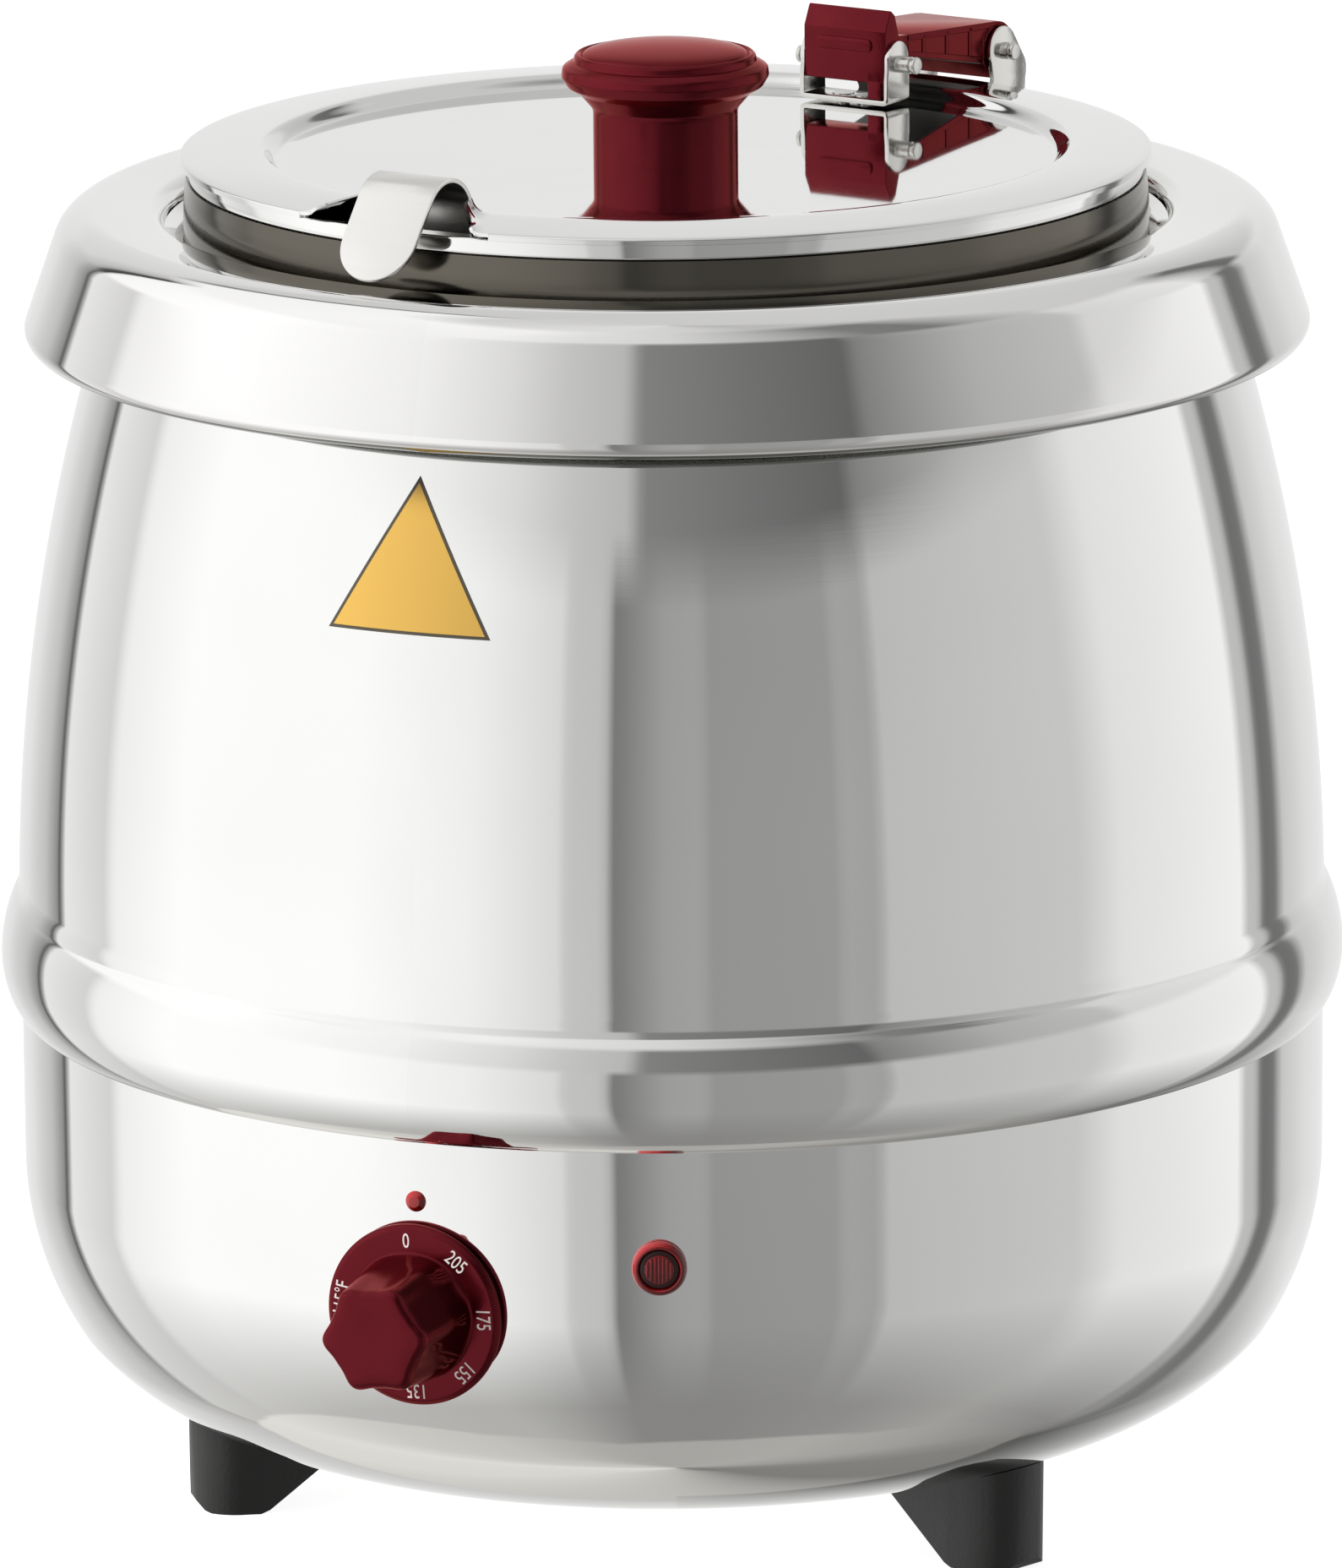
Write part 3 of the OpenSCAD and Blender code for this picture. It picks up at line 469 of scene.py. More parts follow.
lower_path = [(keel_centre[0] - 21 * MM, shell_low)]
lower_path += arc(keel_centre, keel_radius, -90, crease_angle, 24)
lower_path += arc((body_radius - belly_radius, belly_top), belly_radius, -belly_angle, 0, 16)[1:]
lower_path += [(body_radius, seam - 1 * MM), (body_radius, lap_top)]
piece("lower_body", spun(wall(lower_path, sheet), steps=256), polished_steel, "kettle", ["lower_shell"],
    crease=40)

# %% Upper shell
bead_height = 28.5 * MM
bead_out = 4.2 * MM
bead_crown = seam + 0.45 * bead_height
bead_top = seam + bead_height
lap_gap = 0.2 * MM
lean = radians(0.6)
bow = 495 * MM
shell_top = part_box("upper_shell")[1].z


def bead_bulge(height):
    half = bead_crown - seam if height < bead_crown else bead_top - bead_crown
    return bead_out * max(0.0, 1 - ((height - bead_crown) / half) ** 2) ** 0.8


def lean_in(height):
    rise = height - bead_top
    return body_radius - tan(lean) * rise - rise ** 2 / (2 * bow)


upper_path = []
for step in range(29):
    height = seam + bead_height * step / 28
    upper_path.append((body_radius + bead_bulge(height) + lap_gap + sheet * (1 - step / 28), height))
for step in range(1, 41):
    height = bead_top + (shell_top - bead_top) * step / 40
    upper_path.append((lean_in(height) + lap_gap * (1 - step / 40), height))
piece("upper_body", spun(wall(upper_path, sheet), steps=256), polished_steel, "kettle", ["upper_shell"],
    crease=50)

# %% [markdown]
# ## The collar
# The collar is one deep pressing: a rolled lip, a leaning skirt, a round shoulder and a mouth that turns
# down into a shallow groove. A ledge at the bottom of the groove carries the pot. The underside of the
# rolled lip is a piece of its own in a dark steel, which paints the shade under the lip.

# %% Collar
collar_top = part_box("collar")[1].z
collar_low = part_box("collar")[0].z
collar_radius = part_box("collar")[1].x
mouth_radius = 125.5 * MM
collar_sheet = 1.2 * MM
ledge = collar_top - 13.6 * MM
ledge_radius = mouth_radius - 6 * MM
collar_lean = 19.4
lip = 3.5 * MM
lip_centre = (collar_radius - lip, collar_low + lip)
skirt_foot = arc(lip_centre, lip, collar_lean, collar_lean, 1)[0]
skirt_head = skirt_foot[0] - (collar_top - skirt_foot[1]) * tan(radians(collar_lean))
shoulder = 11 * MM
shoulder_centre = (skirt_head - shoulder * tan(radians((90 - collar_lean) / 2)), collar_top - shoulder)
mouth_round = 4.5 * MM
mouth_centre = (mouth_radius + mouth_round, collar_top - mouth_round - 0.6 * MM)
groove_depth = 8.2 * MM
groove_inner = ledge_radius + 1.1 * MM
hem_turn = -38
collar_path = arc(lip_centre, lip, hem_turn, collar_lean, 8)
collar_path += arc(shoulder_centre, shoulder, collar_lean, 90, 14)
collar_path += arc(mouth_centre, mouth_round, 90, 180, 8)
collar_path += [(ledge_radius + 1.4 * MM, collar_top - groove_depth), (groove_inner, collar_top - 8.6 * MM),
    (groove_inner, ledge), (ledge_radius, ledge)]
piece("collar_pressing", spun(wall(collar_path, collar_sheet), steps=256), collar_steel, "kettle",
    ["collar"], crease=50)
# The dark steel of the lip's underside is painted shade under the rolled lip.
painted_shade_steel = steel("painted_shade_steel", (0.26, 0.26, 0.25), 0.10)
collar_hem = arc(lip_centre, lip, -110, hem_turn, 8)
piece("collar_hem", spun(wall(collar_hem, collar_sheet), steps=256), painted_shade_steel, "kettle",
    crease=50)

# %% [markdown]
# ## Finishes for plastic, rubber and small metal parts
# The knobs are a glossy burgundy plastic. It is set partly metallic with a red tint, because that keeps
# its gleam deep red where plain plastic would shine white, and a fine bump breaks the gleam a little.
# Only the pilot lamp has a clear coat. Rubber is rougher, with a coarser grain, and the little plated
# parts are duller than the polished sheet.

# %% Other finishes
def grained(name, colour, roughness, grain, depth, vary=0.12, **sockets):
    """A finish whose colour, gloss and surface all carry the same fine grain."""
    material, start, shader = finish(name, **sockets)
    place = start.node("ShaderNodeTexCoord", output="Object")
    fine = place.noise(grain, 3.0, 0.55)
    cloud = place.noise(grain / 14, 2.0, 0.5)
    shade = cloud.between(0.25, 0.75).mix(tuple((1 - vary) * c for c in colour), tuple(colour))
    feed(shade, shader, "Base Color")
    feed(roughness + (fine - 0.5) * 0.08 + (cloud - 0.5) * 0.05, shader, "Roughness")
    bump_into(shader, fine, depth, 0.0004)
    return material


burgundy = grained("burgundy", (0.13, 0.010, 0.017), 0.17, 1400, 0.05, Metallic=0.7,
    Specular_Tint=(1.0, 0.25, 0.22))
red_glow = grained("red_lens", (0.50, 0.006, 0.010), 0.12, 900, 0.05, Coat_Weight=0.3,
    Coat_Roughness=0.05)
red_groove = grained("red_groove", (0.05, 0.001, 0.002), 0.3, 900, 0.05)
# Dark rubber for the feet and glands. The same near-black also paints the shade under the hinge link.
dark_rubber = grained("dark_rubber", (0.020, 0.021, 0.019), 0.42, 900, 0.25)
plated_steel = grained("plated_steel", (0.66, 0.65, 0.62), 0.26, 700, 0.12, vary=0.06, Metallic=1.0)
bracket_steel = grained("bracket_steel", (0.70, 0.69, 0.66), 0.17, 500, 0.10, vary=0.06, Metallic=1.0)
element_black = grained("element_black", (0.035, 0.035, 0.035), 0.5, 600, 0.3)
grey_case = grained("grey_case", (0.25, 0.25, 0.25), 0.45, 800, 0.2)
ivory_block = grained("ivory_block", (0.70, 0.66, 0.54), 0.4, 800, 0.2)
copper = grained("copper", (0.72, 0.36, 0.22), 0.28, 500, 0.1, Metallic=1.0)
# The numbers are white print. Their emission is painted light that keeps them bright where the dial is in
# shade.
number_ink_and_painted_glow = grained("number_ink_and_painted_glow", (0.90, 0.84, 0.80), 0.5, 2000, 0.1, Emission_Color=(0.90, 0.80, 0.76),
    Emission_Strength=0.3)
label_yellow = grained("label_yellow", (0.96, 0.58, 0.12), 0.35, 300, 0.05, vary=0.06)
label_edge = grained("label_edge", (0.10, 0.085, 0.06), 0.4, 600, 0.05)
print("finishes:", len(bpy.data.materials))

# %% [markdown]
# ## The soup pot
# The pot, its lid and its ladle are turned a little on the kettle, so they are built facing straight
# back and front and then turned by one matrix. The pot has a satin wall and a neck in dark steel, which
# paints the shade in the narrow gap under the rim, and its rim is a flat band with small round corners,
# narrower than the lid that lies on it.

# %% The turned frame of the pot
hinge_place = Vector(joints["link_swing"]["pos_m"])
in_pot = Matrix.Rotation(-atan2(hinge_place.x, hinge_place.y), 4, "Z")
rim_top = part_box("pot_rim")[1].z
rim_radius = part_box("pot_rim")[1].x
pot_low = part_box("soup_pot")[0].z
neck_radius = mouth_radius - 5.5 * MM
print("pot turned by", round(degrees(in_pot.to_euler().z), 1), "degrees")

# %% Pot
pot_radius = ledge_radius - 1.7 * MM
pot_corner = 18 * MM
rim_height = 4.2 * MM
pot_path = [(0, pot_low)] + arc((pot_radius - pot_corner, pot_low + pot_corner), pot_corner, -90, 0, 12)
pot_path += [(pot_radius, ledge - 0.1 * MM), (neck_radius - 0.6 * MM, ledge + 0.3 * MM)]
neck_swell = 0.8 * MM
neck_foot = 0.9 * MM      # above the ledge
neck_path = [pot_path[-1]]
for step in range(13):
    t = step / 12
    neck_path.append((neck_radius + neck_swell * sin(pi * min(1, 0.12 + 0.88 * t)) ** 0.7,
        ledge + neck_foot + (rim_top - rim_height - ledge - neck_foot) * t))
piece("pot_body", spun(wall(pot_path, sheet), steps=192, closed=False), satin_steel, "pot",
    ["soup_pot"], crease=50)
# The neck's dark steel is painted shade in the gap between the pot rim and the collar mouth.
painted_shade_neck_steel = steel("painted_shade_neck_steel", (0.13, 0.12, 0.10), 0.14, wave=0.6)
piece("pot_neck", spun(wall(neck_path, sheet), steps=192), painted_shade_neck_steel, "pot", crease=50)

rim_base = rim_top - rim_height
rim_corner = 0.6 * MM
rim_out = rim_radius - 5 * MM
rim_in = rim_radius - 9.9 * MM
rim_outline = [(neck_radius - 1.0 * MM, rim_base)]
rim_outline += arc((rim_out - rim_corner, rim_base + rim_corner), rim_corner, -90, 0, 6)
rim_outline += arc((rim_out - rim_corner, rim_top - rim_corner), rim_corner, 0, 90, 6)
rim_outline += arc((rim_in, rim_top - rim_corner), rim_corner, 90, 270, 8)
rim_outline += [(neck_radius - 1.0 * MM, rim_top - 1.2 * MM)]
piece("pot_edge", spun(rim_outline, steps=256), polished_steel, "pot", ["pot_rim"],
    crease=60)

# %% [markdown]
# ## The lid
# The lid is a shallow pressing: a flat mirror in the middle, a smooth step up to a ring, and a hem at
# the edge. The notch for the ladle is cut with a Boolean, as a press would punch it.

# %% Outline of the lid
lid_radius = rim_radius - 3 * MM
lid_sheet = 0.9 * MM
lid_seat = rim_top + 0.2 * MM
ring_top = lid_seat + 2.8 * MM
ring_fall = 1.3 * MM      # from the inside of the ring to the edge of the lid
dish = 3.2 * MM
panel = ring_top - dish
panel_edge = lid_radius - 24.2 * MM
step_width = 4.2 * MM
lid_top = [(0, panel), (panel_edge * 0.5, panel), (panel_edge - 2 * MM, panel)]
for step in range(13):
    t = step / 12
    lid_top.append((panel_edge + step_width * t, panel + dish * (3 * t * t - 2 * t ** 3)))
ring_inner = panel_edge + step_width
hem_round = 0.75 * MM
hem_centre = (lid_radius - hem_round, lid_seat + hem_round)
hem_low = lid_seat - 0.17 * MM
for step in range(1, 9):
    t = step / 9
    lid_top.append((ring_inner + (hem_centre[0] - ring_inner) * t, ring_top - ring_fall * t ** 1.6))
hem = arc(hem_centre, hem_round, 80, 0, 5) + [(lid_radius, hem_low), (lid_radius - 2.2 * MM, hem_low)]
lid_under = [(radius, height - lid_sheet) for radius, height in reversed(lid_top)]
lid_outline = lid_top + hem + [(lid_radius - 2.6 * MM, lid_seat + 0.7 * MM)] + lid_under[1:]
print("lid outline:", len(lid_outline), "points")

# %% Outline of the notch
notch_inner = lid_radius - 19.6 * MM
notch_corner = 5 * MM
notch_narrow = 14 * MM
notch_flare = 10.5 * MM


def notch_half(reach):
    """Half width of the notch at a distance from the middle of the lid."""
    t = min(1.0, max(0.0, (reach - notch_inner - 4 * MM) / (lid_radius - notch_inner - 3 * MM)))
    return notch_narrow + notch_flare * t * t * (3 - 2 * t)


notch_path = [(0, notch_inner)]
notch_path += arc((9 * MM, notch_inner + notch_corner), notch_corner, -90, 0, 6)
for step in range(1, 13):
    reach = notch_inner + notch_corner + (lid_radius + 3 * MM - notch_inner - notch_corner) * step / 12
    notch_path.append((notch_half(reach), reach))
print("notch path:", len(notch_path), "points")

# %% Solids from flat faces
def flat_face(corners):
    bm = bmesh.new()
    bm.faces.new([bm.verts.new(corner) for corner in corners])
    return bm


def pulled(corners, pull):
    """A solid: a flat face with these corners, pulled along a vector."""
    bm = flat_face(corners)
    grown = bmesh.ops.extrude_face_region(bm, geom=bm.faces[:])
    moved = [v for v in grown["geom"] if isinstance(v, bmesh.types.BMVert)]
    bmesh.ops.translate(bm, verts=moved, vec=pull)
    bmesh.ops.recalc_face_normals(bm, faces=bm.faces)
    return bm


def prism(outline, low, high):
    """A flat outline of (x, y) points, pulled up from low to high."""
    return pulled([(x, y, low) for x, y in outline], (0, 0, high - low))


def combined(first, second, operation):
    """Cuts or joins two bmeshes with a Boolean modifier, and gives back a new one."""
    holders = []
    for bm in (first, second):
        mesh = bpy.data.meshes.new("boolean")
        bm.to_mesh(mesh)
        bm.free()
        holders.append(add_object("boolean", mesh))
    modifier = holders[0].modifiers.new("boolean", "BOOLEAN")
    modifier.operation = operation
    modifier.object = holders[1]
    modifier.solver = "EXACT"
    bpy.context.view_layer.update()
    result = bpy.data.meshes.new_from_object(
        holders[0].evaluated_get(bpy.context.evaluated_depsgraph_get()))
    made = bmesh.new()
    made.from_mesh(result)
    for holder in holders:
        mesh = holder.data
        bpy.data.objects.remove(holder)
        bpy.data.meshes.remove(mesh)
    bpy.data.meshes.remove(result)
    return made


print("solid helpers ready")

# %% Lid pressing
flare_width = 4.4 * MM


def notch_line(outwards, rise=0.0):
    """Points along the notch, pushed outwards from it and lifted, from one side to the other."""
    both = [(-x, y) for x, y in reversed(notch_path)] + notch_path[1:]
    line = []
    for number, (x, y) in enumerate(both):
        along = Vector(both[min(number + 1, len(both) - 1)]) - Vector(both[max(number - 1, 0)])
        out = Vector((along.y, -along.x)).normalized()
        place = Vector((x, y)) + out * outwards
        fade = 0.0
        if 2 < number < len(both) - 3:
            fade = max(0.0, sin(pi * (number - 2) / (len(both) - 5))) ** 0.7
        ring_drop = ring_fall * max(0.0, (place.length - ring_inner) / (lid_radius - ring_inner)) ** 1.6
        line.append((place.x, -place.y, ring_top - ring_drop + rise * fade))
    return line


notch_outline = [(x, y) for x, y, z in notch_line(flare_width)]
lid_bm = combined(spun(lid_outline, steps=256, closed=False),
    prism(notch_outline, panel - 20 * MM, panel + 20 * MM), "DIFFERENCE")
lid_bm.transform(in_pot)
mirror_steel = steel("mirror_steel", (0.80, 0.80, 0.79), 0.035, rings=0.4, wave=0.5)
piece("lid_pressing", lid_bm, mirror_steel, "cover", ["lid"], crease=35)

# %% [markdown]
# ## The lip of the notch
# Where the notch was punched, the sheet is flared up so that it doesn't cut the hand or jam the ladle.
# One strip does it: loops of points along the cut edge, each a little higher and nearer to the edge,
# bridged, and thickened with `solidify`.

# %% Notch lip
def thicken(bm, thickness, wrong_way):
    """Turns the faces of a sheet the right way and gives it its thickness."""
    bmesh.ops.recalc_face_normals(bm, faces=bm.faces)
    if wrong_way(bm.faces[:]):
        bmesh.ops.reverse_faces(bm, faces=bm.faces)
    bmesh.ops.solidify(bm, geom=bm.faces, thickness=thickness)


lip_steps = [(4.45, 0), (3.7, 0.1), (2.9, 0.4), (2.1, 1.0), (1.4, 1.8), (0.8, 2.8), (0.4, 3.9), (0.3, 4.4)]
lip_bm = bmesh.new()
rows = []
for outwards, rise in lip_steps:
    verts = []
    for x, y, z in notch_line(outwards * MM, rise * MM)[3:-3]:
        inside = min(1.0, (lid_radius - 0.05 * MM) / hypot(x, y))
        verts.append(lip_bm.verts.new((x * inside, y * inside, z)))
    rows.append([lip_bm.edges.new(pair) for pair in zip(verts, verts[1:])])
for lower, upper in zip(rows, rows[1:]):
    bmesh.ops.bridge_loops(lip_bm, edges=lower + upper)
thicken(lip_bm, 0.85 * MM, lambda faces: sum(face.normal.z for face in faces) < 0)
lip_bm.transform(in_pot)
piece("notch_lip", lip_bm, mirror_steel, "cover", crease=50)

# %% [markdown]
# ## The lid knob
# A turned knob is one outline spun round. Each corner is drawn once with its radius.

# %% Lid knob
knob_corners = [(0, 0), (18.1, 0), (18.1, 11.9, 3.0), (21.6, 16.0, 1.0), (24.6, 17.8, 1.4),
    (26.0, 20.2, 1.6), (25.7, 22.4, 1.4), (23.7, 23.6, 0.5), (22.9, 23.9, 0.4), (22.7, 25.2, 0.6),
    (21.8, 26.1, 0.7), (20.9, 25.3)]
dome_radius = 20.7
dome_low = 25.4
dome_height = 2.9
knob_dome = [(dome_radius * cos(turn), dome_low + dome_height * sin(turn))
    for turn in [radians(6 * step) for step in range(1, 16)]]
knob_outline = [(x * MM, panel + z * MM) for x, z in soften(knob_corners, steps=6) + knob_dome]
knob_bm = spun(knob_outline, steps=128, closed=False)
piece("knob_turning", knob_bm, burgundy, "cover", ["lid_knob"], crease=60)

# %% [markdown]
# ## The hinge
# The hinge has a moulded link between two sheet brackets. Flat parts are cut from an outline and made
# as thick as they are wide, and every sharp edge gets a small bevel, because it is the bevels that
# catch the light on small parts.

# %% Cut-out parts
def cut_out(outline, width, middle=0.0):
    """An outline of (y, z) points, as thick as width along X, all in millimetres."""
    return pulled([((middle - width / 2) * MM, y, z) for y, z in in_mm(outline)], (width * MM, 0, 0))


def oblong(left, low, right, high):
    return [(left, low), (right, low), (right, high), (left, high)]


def round_edges(bm, radius, steepness=40, segments=3):
    """Bevels each edge where two faces meet at more than the given angle. The radius is in mm."""
    bmesh.ops.remove_doubles(bm, verts=bm.verts, dist=1e-6)
    sharp = [e for e in bm.edges if len(e.link_faces) == 2 and e.calc_face_angle() > radians(steepness)]
    bmesh.ops.bevel(bm, geom=sharp, offset=radius * MM, offset_type="OFFSET", affect="EDGES",
        segments=segments, profile=0.5, material=-1, clamp_overlap=True)
    return bm


def join(bm, other):
    """Adds the other bmesh to the first one."""
    mesh = bpy.data.meshes.new("joined")
    other.to_mesh(mesh)
    other.free()
    bm.from_mesh(mesh)
    bpy.data.meshes.remove(mesh)
    return bm


on_panel = in_pot @ Matrix.Translation((0, 0, panel))
print("cut-out helpers ready")

# %% Hinge link
front_pin_place = (86.5, 11.0)
rear_pin_place = (135.5, 7.2)
link_width = 24.8
block_corners = [(82, 14, 0), (82, 6.2, 0.5), (90.6, 6.2, 0.5), (93.2, 12, 0.5), (93.2, 17.5, 0.4),
    (88.4, 17.8, 0.3), (86.6, 23.4, 0.6), (84.6, 25, 0.5), (82, 19.6, 0.5), (82, 14, 0)]
block = cut_out(soften(block_corners, steps=3)[:-1], link_width)
round_edges(block, 0.35, steepness=50)
bar_corners = [(0, 1.6), (8.3, 1.6, 1.6), (8.3, -1.6, 1.6), (-8.3, -1.6, 1.6), (-8.3, 1.6, 1.6), (0, 1.6)]
bar = prism(in_mm(soften(bar_corners)[:-1]), 0, 0.9 * MM)
round_edges(bar, 0.3)
bar_place = (0, 82.4 * MM, 15.8 * MM)
bar.transform(Matrix.Translation(bar_place) @ Matrix.Rotation(pi / 2, 4, "X"))
join(block, bar)
leg = cut_out(oblong(82, 2.0, 85.4, 9), 4, middle=8.8)
join(block, round_edges(leg, 0.3))

top_plate = cut_out([(92, 15.9), (92, 17.6), (134.5, 14.8), (138.6, 13.6), (140.6, 11.6), (139.4, 10.4),
    (136.6, 12.6), (133.6, 13.1)], link_width)
join(block, round_edges(top_plate, 0.3, steepness=50))
core = cut_out([(92, 12.2), (92, 16.4), (133.6, 13.6), (133.6, 4.6)], link_width - 0.5)
join(block, core)
side_rail = [(92, 12.0), (92, 13.4), (128, 6.6), (128, 4.8)]
rib_width = 1.6
rail_width = 2.0
for side in (-1, 1):
    rail_place = side * 11.4
    rail = cut_out(side_rail, rail_width, middle=rail_place)
    join(block, round_edges(rail, 0.25))
    for reach, low, high in ((99.5, 11.6, 16.4), (110.5, 9.6, 15.8), (121.5, 7.6, 15.0)):
        rib = cut_out(oblong(reach, low, reach + rib_width, high), rail_width, middle=rail_place)
        join(block, round_edges(rib, 0.2))
tail_outline = arc(rear_pin_place, 7.4, -100, 150, 26) + [(128, 10.6), (128, 4.6)]
tail = cut_out(tail_outline, link_width)
join(block, round_edges(tail, 0.3, steepness=60))
block.transform(on_panel)
piece("link_moulding", block, burgundy, "link", ["hinge_link"], crease=30)

# A near-black sheet in the hollow underside of the link is painted shade, which the lid also mirrors.
underside_shade = cut_out([(94, 11.5), (94, 12.3), (128, 5.3), (128, 4.5)], link_width - 0.8)
underside_shade.transform(on_panel)
piece("link_underside_shade", underside_shade, dark_rubber, "link")

# %% Pins and rivets
def turned(corners, place, body, name, material, stands_for=(), steps=32):
    """A small turned part: its outline in (radius, length) millimetres, spun and put in place."""
    bm = spun(in_mm(soften(corners, steps=3)), steps=steps, closed=False)
    bm.transform(place)
    return piece(name, bm, material, body, stands_for, crease=50)


def across(place):
    """A frame whose Z runs along the hinge pin through a (y, z) place."""
    return on_panel @ Matrix.Translation((0, place[0] * MM, place[1] * MM)) @ Matrix.Rotation(pi / 2, 4, "Y")


ear_outer = 12.8 + 1.3
front_right = ear_outer + 5.2
front_left = ear_outer + 2.6
rear_right = ear_outer + 3.8


def pin_corners(left, right):
    """A pin with a groove near each end, from -left to right along its axis."""
    return [(0, -left), (2.2, -left, 0.4), (2.2, -left + 1.1, 0.1), (1.75, -left + 1.15, 0.1),
        (1.75, -left + 1.75, 0.1), (2.2, -left + 1.8, 0.1), (2.2, right - 1.85, 0.1),
        (1.75, right - 1.8, 0.1), (1.75, right - 1.15, 0.1), (2.2, right - 1.1, 0.1),
        (2.2, right, 0.5), (0, right)]


turned(pin_corners(front_left, front_right), across(front_pin_place), "link", "front_hinge_pin",
    plated_steel, ["front_pin"])
turned(pin_corners(front_left, rear_right), across(rear_pin_place), "pot", "rear_hinge_pin",
    plated_steel, ["rear_pin"])
rivet = [(0, 0.9), (1.2, 0.85, 0.5), (2.8, 0.3, 0.3), (2.8, 0, 0), (0, -0.2)]
for number, shift in enumerate((-3.4, 3.4)):
    turned(rivet, on_panel @ Matrix.Translation((shift * MM, 86.5 * MM, 1.3 * MM)), "cover",
        f"lid_rivet_head_{number + 1}", plated_steel, steps=20)

# %% Lid bracket
sheet_metal = 1.3
u_path = soften([(-13.45, 20), (-13.45, 0.65, 1.9), (13.45, 0.65, 1.9), (13.45, 20)], steps=6)
strap_back = 91.7 * MM
strap_front = 81.3 * MM
strap = prism(wall(in_mm(u_path), sheet_metal * MM), -strap_back, -strap_front)
strap.transform(Matrix.Rotation(pi / 2, 4, "X"))
ear_shape = [(81.5, -2), (91.5, -2), (91.5, 7), (91.2, 9.5)] + arc((86.5, 12.2), 4.7, 10, 170, 16)
ear_shape += [(81.8, 9.5), (81.5, 7)]
bracket = combined(strap, cut_out(ear_shape, 40), "INTERSECT")
round_edges(bracket, 0.28, steepness=50, segments=2)
bracket.transform(on_panel)
piece("lid_strap", bracket, bracket_steel, "cover", ["lid_bracket"], crease=40)

# %% Rear bracket
floor_height = (collar_top + 1.5 * MM - panel) / MM
plate_inner = 117.6
plate_outer = 145.0
tab_depth = 9
tab_half_width = 14.1 * MM
rear_ear = arc(rear_pin_place, 6.3, 205, 40, 20) + arc((140.0, 1.0), 6.5, 25, -20, 10)
rear_ear += [(145.6, floor_height + 1.2), (plate_outer, floor_height), (129.0, floor_height),
    (129.6, floor_height + 4.6), (130.7, 0.6)]
holder = bmesh.new()
for side in (-1, 1):
    ear = cut_out(rear_ear, sheet_metal, middle=side * 13.45)
    join(holder, round_edges(ear, 0.28, steepness=50, segments=2))
foot_plate = cut_out(oblong(plate_inner, floor_height, plate_outer, floor_height + sheet_metal), 28.2)
inside_neck = prism(arc((0, 0), neck_radius, 0, 360, 128)[:-1], -40 * MM, 20 * MM)
foot_plate = combined(foot_plate, inside_neck, "DIFFERENCE")
join(holder, round_edges(foot_plate, 0.2, steepness=50, segments=2))
tab_outline = oblong(neck_radius, (floor_height - tab_depth) * MM, neck_radius + sheet_metal * MM,
    floor_height * MM)
tab = flat_face([(0, radius, height) for radius, height in tab_outline])
tab_half = asin(tab_half_width / neck_radius)
bmesh.ops.rotate(tab, verts=tab.verts, cent=(0, 0, 0), matrix=Matrix.Rotation(-tab_half, 3, "Z"))
bmesh.ops.spin(tab, geom=tab.faces[:], cent=(0, 0, 0), axis=(0, 0, 1), angle=2 * tab_half, steps=12)
bmesh.ops.recalc_face_normals(tab, faces=tab.faces)
join(holder, tab)
holder.transform(on_panel)
piece("rear_holder", holder, bracket_steel, "pot", ["rear_bracket"], crease=35)

# %% [markdown]
# ## The ladle
# The handle is one flat strip with a round end, bent over the rim. It is drawn flat first, cut across
# into short lengths, and each point is then moved onto a bent centre line. That keeps the rounded end
# and the width exact, as a bending tool does.

# %% Ladle handle
in_ladle = in_pot @ Matrix.Rotation(radians(1.4) + pi, 4, "Z")
hook_radius = 9.2
hook_out = 124.5
hook_rise = 11.8          # of the top of the hook over the rim
hook_centre = (hook_out - 11.1, rim_top / MM + hook_rise - hook_radius)
hook_angle = 37
strip_width = 21.0
tip_height = collar_top / MM + 1.4
leg_head = (hook_centre[0] + hook_radius * cos(radians(hook_angle)),
    hook_centre[1] + hook_radius * sin(radians(hook_angle)))
leg_length = (leg_head[1] - tip_height) / cos(radians(hook_angle))
leg_tip = (leg_head[0] + leg_length * sin(radians(hook_angle)), tip_height)
bowl_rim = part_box("ladle_bowl")[1].z / MM
centre_line = [leg_tip] + arc(hook_centre, hook_radius, hook_angle, 180, 24)
centre_line += [(hook_centre[0] - hook_radius, bowl_rim)]


def along_line(line, distance):
    """The point at a distance along a line of (y, z) points."""
    for first, second in zip(line, line[1:]):
        step = Vector(second) - Vector(first)
        if distance <= step.length or second == line[-1]:
            return Vector(first) + step.normalized() * distance
        distance -= step.length


def cut_across(bm, place, square):
    """Cuts every face along the plane through a place, square to a direction."""
    bmesh.ops.bisect_plane(bm, geom=bm.verts[:] + bm.edges[:] + bm.faces[:], plane_co=place, plane_no=square)


line_length = sum((Vector(b) - Vector(a)).length for a, b in zip(centre_line, centre_line[1:]))
half = strip_width / 2
flat = in_mm(arc((0, half), half, 180, 360, 24) + [(half, line_length), (-half, line_length)])
strip = flat_face([(x, y, 0) for x, y in flat])
for cut in [half + n for n in range(60)] + [80, 110, 150, 190]:
    if cut < line_length - 1:
        cut_across(strip, (0, cut * MM, 0), (0, 1, 0))
for vert in strip.verts:
    spot = along_line(centre_line, vert.co.y / MM)
    vert.co = Vector((vert.co.x, spot.x * MM, spot.y * MM))
strip_sheet = 1.2 * MM
thicken(strip, -strip_sheet,
    lambda faces: max(faces, key=lambda face: face.calc_center_median().z).normal.z < 0)
round_edges(strip, 0.3, steepness=60, segments=2)
strip.transform(in_ladle)
brushed_strip = steel("brushed_strip", (0.80, 0.785, 0.76), 0.30, wave=0.4)
piece("ladle_strip", strip, brushed_strip, "ladle", ["ladle_handle"], crease=40)

